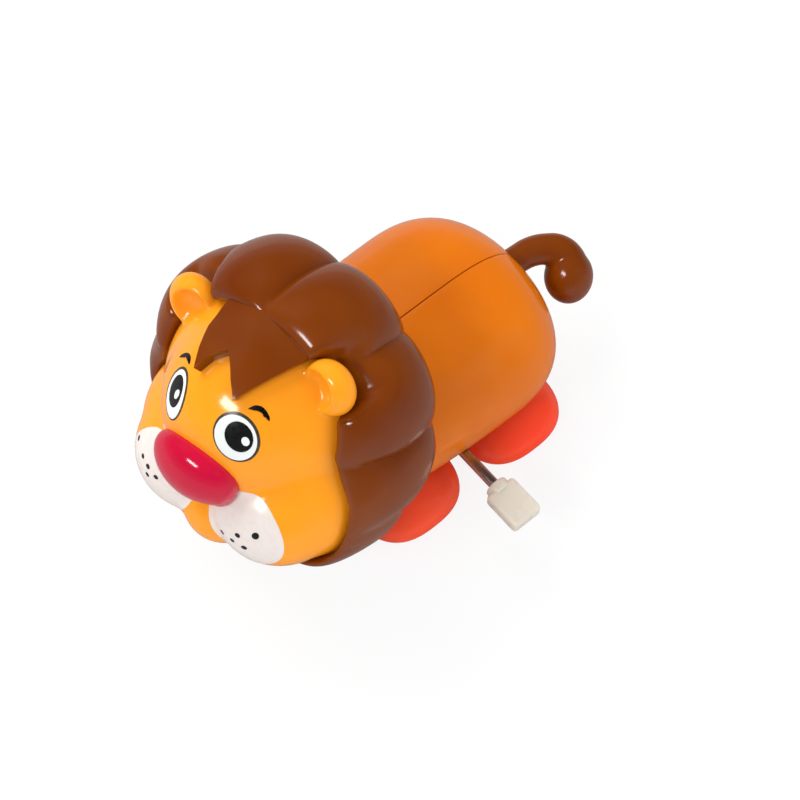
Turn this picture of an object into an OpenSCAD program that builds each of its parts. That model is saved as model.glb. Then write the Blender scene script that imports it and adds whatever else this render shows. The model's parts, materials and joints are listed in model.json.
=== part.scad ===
// Wind-up walking lion. Two body halves stand on a belly pan that carries a spring motor; cranks on
// its two axles swing a walking bar with two shoe feet on each side. The head rocks on a neck pin and
// the tail swings on a post. Millimetres, +Z up, z = 0 is the floor, the lion faces -Y and its left
// side, with the winding key, is +X. The key's axis crosses the middle plane above the origin.

/* [Body shell] */
// Half width of the body's oval section
body_half_w = 21; // [20:0.1:22]
// Half height of the body's oval section
body_half_h = 14.5; // [14:0.1:16]
// Height of the body's long axis
body_axis_z = 16; // [15.4:0.1:16.4]
// Distance of the widest section behind the key
body_wide_y = 11; // [9:0.1:12]
// Length from the widest section to the rear end
body_rear_len = 18; // [17.5:0.1:20]
// Share of the radius that the body has lost at its front
body_front_taper = 0.16; // [0.1:0.01:0.18]
// Wall of the body shell at the top and bottom
body_wall = 1.5; // [1.2:0.1:1.7]
// Height of the shell's lower rim
rim_z = 10; // [9.8:0.1:10.4]

/* [Belly pan] */
// Half width of the belly pan
pan_half_w = 10.2; // [10:0.05:10.3]
// Height of the flat belly above the floor
pan_z = 1.8; // [1.5:0.1:1.9]
// Thickness of the belly pan's floor and walls
pan_wall = 1.2; // [1:0.05:1.3]
// Height of the pan's upper edge
pan_top_z = 9.8; // [9.7:0.05:9.9]
// Front end of the pan
pan_front_y = -19.2; // [-19.6:0.1:-18.8]
// Rear end of the pan
pan_rear_y = 26.6; // [26.4:0.1:27]
// Distance of the screw posts from the middle plane
post_x = 6.6; // [6.4:0.1:6.8]
// Place of the front screw posts along the body
post_front_y = -15.4; // [-15.5:0.1:-15.2]
// Place of the rear screw posts along the body
post_rear_y = 20.6; // [20.2:0.1:20.8]
// Radius of a screw post
post_r = 2; // [1.8:0.1:2.1]

/* [Head] */
// Upward pitch of the head and of the neck pin
head_pitch = 22; // [20:0.5:24]
// Sideways tilt at which the head lies on its stop
head_tilt = 11; // [6:0.5:12]
// Turn of the head and of the neck pin to the lion's left
head_turn = 6; // [3:0.5:7]
// Place of the mane ring's centre along the body
mane_y = -22.5; // [-23:0.1:-22]
// Height of the mane ring's centre
mane_z = 30.3; // [30.2:0.1:31]
// Outer radius of the mane at the top of a lobe
mane_r = 28; // [27.6:0.1:29]
// Number of lobes round the mane
mane_lobes = 9; // [7:2:11]
// Depth of the notches between lobes
lobe_depth = 2.6; // [1:0.1:3.5]
// Depth of the mane behind the face's edge
mane_back = 11.4; // [11:0.1:12]
// Wall of the face and the mane
head_wall = 1.6; // [1.3:0.1:2]
// Distance of the neck pin below the mane's centre
neck_drop = 4; // [3.5:0.1:4.5]
// Radius of the neck pin
neck_pin_r = 2.5; // [2:0.1:2.8]
// Half width of the nose
nose_half_w = 9.2; // [8:0.1:10]
// Half height of the nose
nose_half_h = 6.8; // [6:0.1:7.5]
// Height of the nose above the face
nose_rise = 4.2; // [3:0.1:5]

/* [Tail] */
// Radius of the tail at its root
tail_r = 2.6; // [2.2:0.1:2.8]
// Radius of the tuft
tuft_r = 4.3; // [3.5:0.1:4.6]
// Height of the tail's middle line
tail_z = 20.4; // [20:0.1:21]

/* [Feet] */
// Length of a foot
foot_len = 20.4; // [19:0.1:20.6]
// Half width of a foot's oval
foot_half_w = 10.4; // [9.5:0.1:10.8]
// Height of a foot
foot_h = 8.2; // [7.6:0.1:8.3]
// Distance of a foot's middle from the walking bar's middle
foot_y = 11.9; // [11.7:0.1:12]

/* [Motor] */
// Module of all gears
gear_module = 0.6; // [0.58:0.005:0.61]
// Height of the key's axis
key_z = 11; // [10.9:0.05:11.2]
// Height of the two axles
axle_z = 8; // [7.9:0.05:8.1]
// Throw of the cranks
crank_r = 1.5; // [1:0.1:1.6]
// Radius of the axles and of the winding shaft
axle_r = 1; // [0.8:0.05:1]
// Distance between the motor plates' inner faces, halved
plate_in = 7; // [6.8:0.05:7.1]
// Thickness of a motor plate
plate_t = 1; // [0.8:0.05:1.1]
// Thickness of the mainspring's strip
spring_t = 0.35; // [0.2:0.01:0.4]
// Turns of the mainspring
spring_turns = 5; // [4:1:6]
// Length of the key's knob
knob_len = 8.7; // [8:0.1:10]
// Width of the key's knob
knob_w = 6.2; // [5.5:0.1:7]
// Where the knob begins
knob_x = 28; // [27:0.1:29]

/* [Fits] */
// Radial clearance of a running fit
run_gap = 0.05; // [0.03:0.01:0.08]
// Room left beside pieces that move past each other
free_gap = 0.4; // [0.3:0.05:0.5]
// Gap between pieces that are seated on each other
seat_gap = 0.1; // [0.05:0.01:0.15]

/* [Hidden] */
$fn = 48;

body_orange = "#e07a16";
face_yellow = "#fba02a";
mane_brown = "#7a3d10";
foot_red = "#ff4422";
steel = "#b8bcc0";
brass = "#c9a64a";

// Vectors in the plane of y and z
function at_angle(r, a) = [r * cos(a), r * sin(a)];
function unit(v) = v / norm(v);
function bezier(p, t) = pow(1 - t, 3) * p[0] + 3 * t * pow(1 - t, 2) * p[1]
  + 3 * t * t * (1 - t) * p[2] + t * t * t * p[3];

// A flat shape drawn in y and z, from x onwards
module slab(x, t) {
  translate([x, 0, 0]) rotate([90, 0, 90]) linear_extrude(t) children();
}

// A rod along X from x0 to x1
module rod(x0, x1, at, r) {
  translate([x0, at[0], at[1]]) rotate([0, 90, 0]) cylinder(h = x1 - x0, r = r);
}

// Rings of points joined into one closed skin: each ring closes on itself, the ends are capped
module skin(rings) {
  n = len(rings[0]);
  m = len(rings);
  points = [for (ring = rings) each ring];
  sides = [for (i = [0:m - 2], j = [0:n - 1]) let (k = (j + 1) % n)
    each [[i * n + j, i * n + k, (i + 1) * n + k], [i * n + j, (i + 1) * n + k, (i + 1) * n + j]]];
  start = [for (j = [n - 2:-1:1]) [0, j + 1, j]];
  finish = [for (j = [1:n - 2]) [(m - 1) * n, (m - 1) * n + j, (m - 1) * n + j + 1]];
  polyhedron(points, concat(sides, start, finish));
}

// Places of the motor's axes, in y and z
great_teeth = 24;
pinion_teeth = 12;
wheel_teeth = 18;
key_at = [0, key_z];
great_dist = gear_module * (great_teeth + pinion_teeth) / 2;
axle_dy = sqrt(pow(great_dist, 2) - pow(key_z - axle_z, 2));
front_at = [-axle_dy, axle_z];
rear_at = [axle_dy, axle_z];
second_angle = 53;
second_at = key_at + at_angle(great_dist, second_angle);
governor_angle = 19;
governor_at = second_at + at_angle(gear_module * (wheel_teeth + pinion_teeth) / 2, governor_angle);

// Stub involute gears with a little backlash
pressure = 25;
tooth_tip = 0.8 * gear_module;
tooth_root = gear_module;
backlash = 0.06;
function involute(a) = tan(a) * 180 / PI - a;
function gear_r(teeth) = gear_module * teeth / 2;
function gear_tip_r(teeth) = gear_r(teeth) + tooth_tip;
// Angle of a tooth on the follower that meshes with a gear whose tooth stands at lead
function mesh_angle(dir, lead, lead_teeth, teeth) =
  let (turn = (dir - lead) - floor((dir - lead) * lead_teeth / 360) * 360 / lead_teeth)
  dir + 180 + turn * lead_teeth / teeth + 180 / teeth;
module gear(teeth, angle, bore) {
  rp = gear_r(teeth);
  rb = rp * cos(pressure);
  low = max(rb, rp - tooth_root);
  half = 90 / teeth - backlash / rp * 180 / PI + involute(pressure);
  steps = 4;
  flank = [for (i = [0:steps]) let (r = low + (rp + tooth_tip - low) * i / steps)
    [r, half - involute(acos(min(1, rb / r)))]];
  tooth = concat([[rp - tooth_root, -flank[0][1]]], [for (p = flank) [p[0], -p[1]]],
    [for (i = [steps:-1:0]) flank[i]], [[rp - tooth_root, flank[0][1]]]);
  difference() {
    polygon([for (k = [0:teeth - 1], p = tooth) at_angle(p[0], angle + k * 360 / teeth + p[1])]);
    circle(bore);
  }
}
function direction(a, b) = atan2(b[1] - a[1], b[0] - a[0]);
great_lead = 0;
front_lead = mesh_angle(direction(key_at, front_at), great_lead, great_teeth, pinion_teeth);
rear_lead = mesh_angle(direction(key_at, rear_at), great_lead, great_teeth, pinion_teeth);
second_lead = mesh_angle(second_angle, great_lead, great_teeth, pinion_teeth);
wheel_lead = 0;
governor_lead = mesh_angle(governor_angle, wheel_lead, wheel_teeth, pinion_teeth);

// Layers of the motor along X
great_x = [1.8, 3.6];
wheel_x = [-0.6, 0.9];
spring_x = [-6, -1.2];
ratchet_x = [4.2, 5.4];
plate_out = plate_in + plate_t;
arbor_end = plate_out + 0.5;
pan_in = pan_half_w - pan_wall;
pan_floor = pan_z + pan_wall;
crank_x = [pan_half_w + free_gap, pan_half_w + free_gap + 1.2];
bar_x = [crank_x[1] + 0.3, crank_x[1] + 2.1];
foot_in_x = bar_x[1] + 0.2;
pin_r = 1;

// Head frame: the neck pin lies in the middle plane, the head is tilted about it
neck_up = [-sin(head_turn) * sin(head_pitch), cos(head_turn) * sin(head_pitch), cos(head_pitch)];
neck_at = [0, mane_y, mane_z] - neck_drop * neck_up;
module neck_frame(flip = 1) {
  translate([flip * neck_at[0], neck_at[1], neck_at[2]]) rotate([-head_pitch, 0, flip * head_turn]) children();
}
module head_frame() {
  neck_frame() rotate([0, -head_tilt, 0]) translate([0, 0, neck_drop]) children();
}
// Distances behind the mane's centre plane, along the neck pin
face_edge_y = -2;
plate_y = [mane_back - 4.4, mane_back - 2];
front_wall_y = mane_back + free_gap;
bracket_y = [front_wall_y + body_wall + 0.5, front_wall_y + body_wall + 3];

// Body shell: an oval section swept along Y
post_y = [post_front_y, post_rear_y];
function body_share(y) = y > body_wide_y
  ? pow(max(0, 1 - pow((y - body_wide_y) / body_rear_len, 2.5)), 0.4)
  : 1 - body_front_taper * pow((body_wide_y - y) / (body_wide_y - body_front_y), 2);
body_front_y = -26;
body_steps = 9;
function body_profile(wall) = concat([[0, body_front_y]],
  [for (i = [0:4]) let (y = body_front_y + (body_wide_y - body_front_y) * i / 4)
    [body_half_h * body_share(y) - wall, y]],
  [for (i = [1:body_steps]) let (a = 90 * i / body_steps)
    [(body_half_h - wall) * body_share(body_wide_y + body_rear_len * sin(a)),
      body_wide_y + (body_rear_len - wall) * sin(a)]]);
module body_solid(wall) {
  translate([0, 0, body_axis_z]) scale([body_half_w / body_half_h, 1, 1]) rotate([-90, 0, 0])
    rotate_extrude($fn = 96) polygon(body_profile(wall));
}
// Everything behind a plane square to the neck pin
module behind_neck(y, flip = 1) {
  neck_frame(flip) translate([-60, y, -80]) cube([120, 120, 160]);
}
// The half on the side of +X, for a neck that turns the flipped way
module body_half(flip) {
  difference() {
    intersection() {
      union() {
        difference() {
          body_solid(0);
          intersection() {
            body_solid(body_wall);
            behind_neck(front_wall_y + body_wall, flip);
          }
        }
        intersection() {
          body_solid(body_wall / 2);
          for (y = post_y) translate([post_x, y, pan_floor]) cylinder(h = 40, r = post_r);
        }
        for (y = post_y) translate([post_x, y, pan_floor]) cylinder(h = rim_z - pan_floor + 1, r = post_r);
      }
      behind_neck(front_wall_y, flip);
      translate([0, -60, 0]) cube([60, 120, 80]);
    }
    difference() {
      translate([-60, -60, -1]) cube([120, 120, rim_z + 1]);
      for (y = post_y) translate([post_x, y, pan_floor]) cylinder(h = rim_z, r = post_r);
    }
    for (y = post_y) translate([post_x, y, 0]) cylinder(h = pan_floor + screw_len, r = screw_r);
    neck_frame(flip) rotate([-90, 0, 0]) cylinder(h = 30, r = neck_pin_r + free_gap);
    translate([0, body_wide_y + body_rear_len + 4, tail_z]) rotate([90, 0, 0])
      cylinder(h = 14, r = tail_r + tail_room);
    if (flip > 0) {
      rod(body_half_w / 2, body_half_w + 4, key_at, axle_r + free_gap);
      translate([body_half_w / 2, -axle_r - free_gap, 0]) cube([body_half_w, 2 * (axle_r + free_gap), key_z]);
    }
  }
}
module body_shell_left() { color(body_orange) body_half(1); }
module body_shell_right() { color(body_orange) mirror([1, 0, 0]) body_half(-1); }

// Screws from below hold the posts of the body halves on the pan
screw_r = 0.9;
screw_len = 6;
screw_head_r = 1.8;
screw_head_h = 0.7;
module shell_screws() {
  color(steel) for (x = [-post_x, post_x], y = post_y) translate([x, y, pan_z + 0.2]) {
    cylinder(h = screw_head_h, r = screw_head_r);
    cylinder(h = pan_floor + screw_len - 0.5 - pan_z - 0.2, r = screw_r);
  }
}

// Belly pan: a tub with a bracket for the neck pin and a post for the tail
tail_at_y = 23.4;
tail_post_r = 2.9;
tail_pin_r = 1.4;
tail_ring_h = 3;
tail_room = 0.9;
tail_post_z = tail_z - tail_ring_h / 2 - 0.1;
pan_corner_r = 4;
module pan_outline(inset) {
  polygon([for (k = [0:15]) let (quarter = floor(k / 4), a = 90 * quarter + 30 * (k % 4), r = pan_corner_r - inset)
    [(quarter % 3 == 0 ? 1 : -1) * (pan_half_w - pan_corner_r) + r * cos(a),
      (quarter < 2 ? pan_rear_y - pan_corner_r : pan_front_y + pan_corner_r) + r * sin(a)]]);
}
module belly_pan() {
  color(body_orange) difference() {
    union() {
      difference() {
        intersection() {
          translate([0, 0, pan_z]) linear_extrude(pan_top_z - pan_z) pan_outline(0);
          behind_neck(front_wall_y);
        }
        translate([0, 0, pan_floor]) linear_extrude(pan_top_z) pan_outline(pan_wall);
      }
      intersection() {
        neck_frame() translate([-4, bracket_y[0], -30]) cube([8, bracket_y[1] - bracket_y[0], 30 + neck_pin_r + 2]);
        translate([-5, -60, pan_floor - 0.5]) cube([10, 120, 80]);
      }
      translate([0, tail_at_y, pan_floor - 0.5]) cylinder(h = tail_post_z - pan_floor + 0.5, r = tail_post_r);
      translate([0, tail_at_y, tail_post_z - 1]) cylinder(h = tail_ring_h + 2.1, r = tail_pin_r);
    }
    for (at = [front_at, rear_at]) rod(-pan_half_w - 1, pan_half_w + 1, at, axle_r + free_gap);
    rod(great_x[0] - free_gap, great_x[1] + free_gap, front_at, gear_tip_r(pinion_teeth) + free_gap);
    neck_frame() rotate([-90, 0, 0]) cylinder(h = 30, r = neck_pin_r);
    for (x = [-post_x, post_x], y = post_y) translate([x, y, pan_z]) {
      translate([0, 0, -1]) cylinder(h = 10, r = screw_r + seat_gap);
      translate([0, 0, -1]) cylinder(h = 1.2 + screw_head_h, r = screw_head_r + seat_gap);
    }
  }
}
// Push-on ring that keeps the tail on its post
module tail_clip() {
  color(steel) translate([0, tail_at_y, tail_z + tail_ring_h / 2 + 0.15]) difference() {
    cylinder(h = 0.7, r = tail_pin_r + 0.9);
    translate([0, 0, -1]) cylinder(h = 3, r = tail_pin_r);
  }
}

// Neck pin, fixed in the pan's bracket, and the washer that holds the head on it
neck_boss_len = 5;
washer_t = 1.2;
neck_boss_y = [plate_y[1] - neck_boss_len, plate_y[1]];
washer_y = neck_boss_y[0] - 0.2 - washer_t;
module neck_pin() {
  color(steel) neck_frame() translate([0, washer_y - 0.4, 0]) rotate([-90, 0, 0])
    cylinder(h = bracket_y[1] - washer_y + 0.4, r = neck_pin_r);
}
module neck_washer() {
  color(steel) neck_frame() translate([0, washer_y, 0]) rotate([-90, 0, 0]) difference() {
    cylinder(h = washer_t, r = neck_pin_r + 1.7);
    translate([0, 0, -1]) cylinder(h = washer_t + 2, r = neck_pin_r);
  }
}

// Motor: two plates with riveted pillars between them
pillar_r = 1.3;
tenon_r = 0.8;
plate_edge = 2.6;
pillars = [key_at + at_angle(great_dist - 1.1, 158), [rear_at[0] + 4.2, rear_at[1] + 6],
  key_at + at_angle(great_dist - 1.1, 99)];
module plate_outline() {
  m = plate_edge;
  difference() {
    polygon([[front_at[0] - m, pan_floor], [rear_at[0] + m, pan_floor], rear_at + [m, m],
      pillars[1] + [m, 0], governor_at + [m, -m], governor_at + [m, m / 2], governor_at + [-m, m * 0.8],
      pillars[2] + [0, m], pillars[2] + [-m, 0], pillars[0] + [-m, m], front_at + [-m, m]]);
    for (at = [key_at, front_at, rear_at]) translate(at) circle(axle_r + run_gap);
    translate(second_at) circle(arbor_r + run_gap);
    translate(governor_at) circle(arbor_r + run_gap);
    for (at = pillars) translate(at) circle(tenon_r);
  }
}
arbor_r = 0.8;
module motor_plate_left() { color(steel) slab(plate_in, plate_t) plate_outline(); }
module motor_plate_right() { color(steel) slab(-plate_out, plate_t) plate_outline(); }
module motor_pillars() {
  color(steel) for (at = pillars) {
    rod(-plate_in, plate_in, at, pillar_r);
    rod(-plate_out - 0.5, plate_out + 0.5, at, tenon_r);
    for (x = [-plate_out - 0.6, plate_out]) rod(x, x + 0.6, at, pillar_r);
  }
}

// Mainspring: a flat spiral from the arbor on the winding shaft to the front pillar
spring_in = 2.3;
spring_out = 7.2;
hook_r = great_dist - 1.1 - pillar_r - spring_t / 2 - seat_gap;
hook_angle = 158;
function spring_radius(a) = let (full = spring_turns * 360)
  a < full ? spring_in + (spring_out - spring_in) * a / full
  : spring_out + (hook_r - spring_out) * (1 - cos((a - full) * 3)) / 2;
module mainspring() {
  last = spring_turns * 360 + 60;
  turns = [for (a = [0:12:last]) [spring_radius(a), a - last + hook_angle]];
  outside = [for (p = turns) key_at + at_angle(p[0] + spring_t / 2, p[1])];
  inside = [for (i = [len(turns) - 1:-1:0]) key_at + at_angle(turns[i][0] - spring_t / 2, turns[i][1])];
  color(steel) slab(spring_x[0], spring_x[1] - spring_x[0]) polygon(concat(outside, inside));
}

// Winding shaft with the arbor for the mainspring, the knob and the ratchet wheel
module winding_shaft() {
  color(steel) {
    rod(-arbor_end, knob_x + 5, key_at, axle_r);
    rod(spring_x[0] - 0.4, spring_x[1] + 0.3, key_at, spring_in - spring_t / 2 - seat_gap);
  }
}
module key_knob() {
  color("#ece8e0") difference() {
    union() {
      rod(knob_x, knob_x + 2, key_at, 2.1);
      translate([knob_x + 1, -knob_w / 2, key_z - 1.5]) cube([knob_len - 1, knob_w, 3]);
    }
    rod(knob_x - 1, knob_x + 5, key_at, axle_r);
  }
}
ratchet_teeth = 12;
ratchet_r = 3.4;
ratchet_step = 0.8;
module ratchet_wheel() {
  pitch = 360 / ratchet_teeth;
  color(brass) slab(ratchet_x[0], ratchet_x[1] - ratchet_x[0]) translate(key_at) difference() {
    polygon([for (k = [0:ratchet_teeth - 1]) each [at_angle(ratchet_r - ratchet_step, k * pitch + 1),
      at_angle(ratchet_r - ratchet_step / 2, k * pitch + pitch / 2), at_angle(ratchet_r, (k + 1) * pitch)]]);
    circle(axle_r);
  }
}
module great_wheel() {
  color(brass) slab(great_x[0], great_x[1] - great_x[0]) translate(key_at)
    gear(great_teeth, great_lead, axle_r + run_gap);
}
// Leaf spring on the great wheel, raised as it is while the key turns, with its tip just over the ratchet's teeth
click_t = 0.25;
click_room = 0.15;
module click_spring() {
  tip = at_angle(ratchet_r + click_room + click_t / 2, 5);
  root = at_angle(5.8, 45);
  across = click_t / 2 * unit([root[1] - tip[1], tip[0] - root[0]]);
  color(steel) union() {
    slab(ratchet_x[0], 0.9) translate(key_at) polygon([tip - across, tip + across, root + across, root - across]);
    rod(great_x[1], ratchet_x[0] + 0.9, key_at + root, 0.7);
  }
}

// Axles with their gears and cranks; the left cranks stand behind their axle and the right ones before
module axle(at) { color(steel) rod(-crank_x[1], crank_x[1], at, axle_r); }
module axle_gear(at, lead) {
  color(brass) slab(great_x[0], great_x[1] - great_x[0]) translate(at) gear(pinion_teeth, lead, axle_r);
}
module crank(at, side) {
  x = side > 0 ? crank_x[0] : -crank_x[1];
  color(steel) {
    difference() {
      rod(x, x + crank_x[1] - crank_x[0], at, crank_r + pin_r + 0.8);
      rod(-60, 60, at, axle_r);
    }
    rod(side > 0 ? crank_x[1] : -bar_x[1], side > 0 ? bar_x[1] : -crank_x[1], at + [side * crank_r, 0], pin_r);
  }
}
module front_axle() { axle(front_at); }
module rear_axle() { axle(rear_at); }
module front_axle_gear() { axle_gear(front_at, front_lead); }
module rear_axle_gear() { axle_gear(rear_at, rear_lead); }
module front_crank_left() { crank(front_at, 1); }
module front_crank_right() { crank(front_at, -1); }
module rear_crank_left() { crank(rear_at, 1); }
module rear_crank_right() { crank(rear_at, -1); }

// Speed-up train and the flywheel that steadies the walk
module arbor(at) { color(steel) rod(-arbor_end, arbor_end, at, arbor_r); }
module second_arbor() { arbor(second_at); }
module second_pinion() {
  color(brass) slab(great_x[0], great_x[1] - great_x[0]) translate(second_at)
    gear(pinion_teeth, second_lead, arbor_r);
}
module second_wheel() {
  color(brass) slab(wheel_x[0], wheel_x[1] - wheel_x[0]) translate(second_at)
    gear(wheel_teeth, wheel_lead, arbor_r);
}
module governor_arbor() { arbor(governor_at); }
module governor_pinion() {
  color(brass) slab(wheel_x[0], wheel_x[1] - wheel_x[0]) translate(governor_at)
    gear(pinion_teeth, governor_lead, arbor_r);
}
flywheel_r = 3.9;
module flywheel() {
  color(steel) difference() {
    rod(great_x[0] + 0.3, plate_in - 1.5, governor_at, flywheel_r);
    rod(-60, 60, governor_at, arbor_r);
  }
}

// Walking bars: bosses on the crank pins, legs down to the feet
bar_edge = 1.5;
foot_step_z = 2.8;
bar_beam_h = 3.8;
foot_peg_r = 1.3;
foot_peg_z = 5;
module walking_bar(side) {
  shift = side * crank_r;
  color(foot_red) slab(side > 0 ? bar_x[0] : -bar_x[1], bar_x[1] - bar_x[0]) translate([shift, 0]) difference() {
    union() {
      for (y = [-axle_dy, axle_dy]) {
        translate([y, axle_z]) circle(pin_r + bar_edge);
        translate([y - pin_r - bar_edge, foot_step_z]) square([2 * (pin_r + bar_edge), axle_z - foot_step_z]);
      }
      for (y = [-foot_y, foot_y]) translate([y, foot_peg_z]) circle(foot_peg_r + 1);
      translate([-foot_y, foot_step_z]) square([2 * foot_y, bar_beam_h]);
    }
    for (y = [-axle_dy, axle_dy]) translate([y, axle_z]) circle(pin_r + run_gap);
    for (y = [-foot_y, foot_y]) translate([y, foot_peg_z]) circle(foot_peg_r);
  }
}
module walking_bar_left() { walking_bar(1); }
module walking_bar_right() { walking_bar(-1); }

// Shoe feet: half of a plump oval shoe outside the bar and a low sole that reaches under it
foot_in_low = crank_x[0] + 0.2;
foot_wide_z = 2.2;
foot_corner = 2.6;
foot_round = 2.1;
function foot_plan(a) = [sign(cos(a)) * pow(abs(cos(a)), 2 / foot_corner),
  sign(sin(a)) * pow(abs(sin(a)), 2 / foot_corner)];
function foot_share(z) = z < foot_wide_z ? 1 - 0.14 * pow(1 - z / foot_wide_z, 2)
  : pow(max(0.002, 1 - pow((z - foot_wide_z) / (foot_h - foot_wide_z), foot_round)), 1 / foot_round);
foot_levels = [0, 0.5, 1.2, foot_wide_z, for (i = [1:7]) foot_wide_z + (foot_h - foot_wide_z) * sin(i * 90 / 7)];
module foot(side, end) {
  at = [side * bar_x[1], side * crank_r + end * foot_y];
  rings = [for (z = foot_levels) [for (k = [0:43]) let (q = foot_share(z) * foot_plan(-k * 360 / 44))
    [at[0] + q[0] * foot_half_w, at[1] + q[1] * foot_len / 2, z]]];
  color(foot_red) union() {
    difference() {
      skin(rings);
      translate([side > 0 ? -60 : -foot_in_low, -60, -1]) cube([60 + foot_in_low, 120, 80]);
      translate([side > 0 ? -60 : -foot_in_x, -60, foot_step_z]) cube([60 + foot_in_x, 120, 80]);
    }
    rod(side > 0 ? bar_x[0] : -foot_in_x - 1, side > 0 ? foot_in_x + 1 : -bar_x[0],
      [at[1], foot_peg_z], foot_peg_r);
  }
}
module front_left_foot() { foot(1, -1); }
module rear_left_foot() { foot(1, 1); }
module front_right_foot() { foot(-1, -1); }
module rear_right_foot() { foot(-1, 1); }

// Face: rays from the middle of its edge meet a skull, a bridge, two cheeks and two muzzle lobes
face_lumps = [[[0, -2, 2], [20.6, 18, 20]], [[0, -6, 3], [15, 17.6, 17]],
  [[11, -4, -9], [11.8, 13, 13]], [[-11, -4, -9], [11.8, 13, 13]],
  [[9, -10, -11], [11.5, 11.5, 11]], [[-9, -10, -11], [11.5, 11.5, 11]]];
face_from = [0, face_edge_y, 0];
face_blend = 14;
function over(v, s) = [v[0] / s[0], v[1] / s[1], v[2] / s[2]];
function ray_reach(d, lump) = let (o = over(face_from - lump[0], lump[1]), e = over(d, lump[1]),
  a = e * e, b = o * e, c = o * o - 1, q = b * b - a * c)
  q < 0 ? 0.01 : max(0.01, (-b + sqrt(q)) / a);
function face_reach(d) = pow(sum([for (l = face_lumps) pow(ray_reach(d, l) / 20, face_blend)]), 1 / face_blend) * 20;
function sum(v) = v * [for (i = v) 1];
// Direction at an angle from straight ahead, and an angle round the face from its left side
function face_dir(off, round) = [sin(off) * cos(round), -cos(off), sin(off) * sin(round)];
function face_point(d, lift) = face_from + (face_reach(d) + lift) * d;
face_rings = 16;
face_sides = 48;
function face_ring(off, lift) = [for (j = [0:face_sides - 1]) face_point(face_dir(off, j * 360 / face_sides), lift)];
screw_spots = [[9, 3], [-9, 3], [9, -11], [-9, -11]];
function front_y(x, z, lump) = let (p = (x - lump[0][0]) / lump[1][0], q = (z - lump[0][2]) / lump[1][2])
  p * p + q * q > 1 ? 0 : lump[0][1] - lump[1][1] * sqrt(1 - p * p - q * q);
function pillar_end(s) = min([for (l = face_lumps) front_y(s[0], s[1], l)]) + 0.65 * head_wall;
head_post_r = 1.8;
head_screw_r = 0.8;
head_screw_len = 7;
ear_at = [15, -8.8, 16];
ear_lean = 41;
ear_r = 4.9;
module ear(side) {
  translate([side * ear_at[0], ear_at[1], ear_at[2]]) rotate([0, side * ear_lean, 0]) rotate([90, 0, 0]) difference() {
    sphere(ear_r);
    translate([0, 0, ear_r]) sphere(ear_r * 1.05);
    translate([-20, -20, -20 - ear_r * 0.55]) cube([40, 40, 20]);
  }
}
module face_shell() {
  first = 3;
  step = (90 - first) / face_rings;
  outer = [for (i = [0:face_rings]) face_ring(first + i * step, 0)];
  inner = [for (i = [face_rings:-1:0]) face_ring(first + i * step, -head_wall)];
  color(face_yellow) head_frame() difference() {
    union() {
      skin(concat(outer, inner));
      for (side = [-1, 1]) ear(side);
      for (s = screw_spots) translate([s[0], pillar_end(s), s[1]]) rotate([-90, 0, 0])
        cylinder(h = plate_y[0] - pillar_end(s), r = head_post_r);
    }
    for (s = screw_spots) translate([s[0], plate_y[0] - head_screw_len, s[1]]) rotate([-90, 0, 0])
      cylinder(h = head_screw_len + 1, r = head_screw_r);
  }
}

// Mane: a lobed ring round the face, open inside between a front and a back flange. At each angle its
// section starts at the front flange, follows the face to the lip, runs over the lobe and comes back inside
mane_in_r = 18;
mane_seat_r = 19.7;
mane_turns = 88;
mane_lip_off = 76;
function lobe(a) = pow(abs(sin(mane_lobes * (a - 90) / 2)), 0.6);
ear_angle = atan2(ear_at[2], ear_at[0]);
function ear_room(a) = let (d = min(abs(a - ear_angle), abs(a - 180 + ear_angle))) max(0, min(1, (25 - d) / 10));
// A point just off the face, in radius and y; between two of the face's own sides it keeps off their edge
function by_face(off, a) = let (p = face_point(face_dir(off, a), seat_gap)) [norm([p[0], p[2]]), p[1]];
function beside_face(off, a) = let (step = 360 / face_sides, low = step * floor(a / step), t = (a - low) / step,
    edge = (1 - t) * by_face(off, low) + t * by_face(off, low + step), p = by_face(off, a))
  edge[0] > p[0] ? edge : p;
function mane_section(a) = let (
    rim = beside_face(90, a),
    lip_off = mane_lip_off + 9 * ear_room(a),
    lip = beside_face(lip_off, a),
    top = max(mane_r - lobe_depth * (1 - lobe(a)), rim[0] + 2.4),
    rise = (8 - 3 * (1 - lobe(a))) * (1 - 0.7 * ear_room(a)),
    flange = face_edge_y + seat_gap,
    room_r = min(rim[0] + head_wall, top - 2 * head_wall),
    room = max(0, min(6, 2 * (top - 2 * head_wall - rim[0]))) * (1 - ear_room(a)),
    front = [lip, lip + [1, -4.8 * (1 - 0.7 * ear_room(a))], [top, -rise], [top, 1]],
    tuck = max(0, -sin(a)),
    back = [[top, 1], [top, mane_back * (0.75 - 0.4 * tuck)], [top - 3 - 4 * tuck, mane_back],
      [mane_seat_r + 1, mane_back]],
    inside = [[top - head_wall, 1], [top - head_wall - 0.8, flange + head_wall - 0.9 * room],
      [room_r + 0.1, flange + head_wall - room], [room_r, flange + head_wall]])
  concat([[mane_in_r, flange + head_wall], [mane_in_r, flange], [rim[0], flange]],
    [for (i = [1:2]) beside_face(90 + (lip_off - 90) * i / 3, a)],
    [for (i = [0:6]) bezier(front, i / 6)], [for (i = [1:6]) bezier(back, i / 6)],
    [[mane_seat_r, mane_back], [mane_seat_r, plate_y[0]], [mane_in_r, plate_y[0]],
      [mane_in_r, plate_y[0] - head_wall], [top - head_wall - 0.6 - 1.6 * tuck, plate_y[0] - head_wall]],
    [for (i = [0:4]) bezier(inside, i / 4)]);
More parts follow.
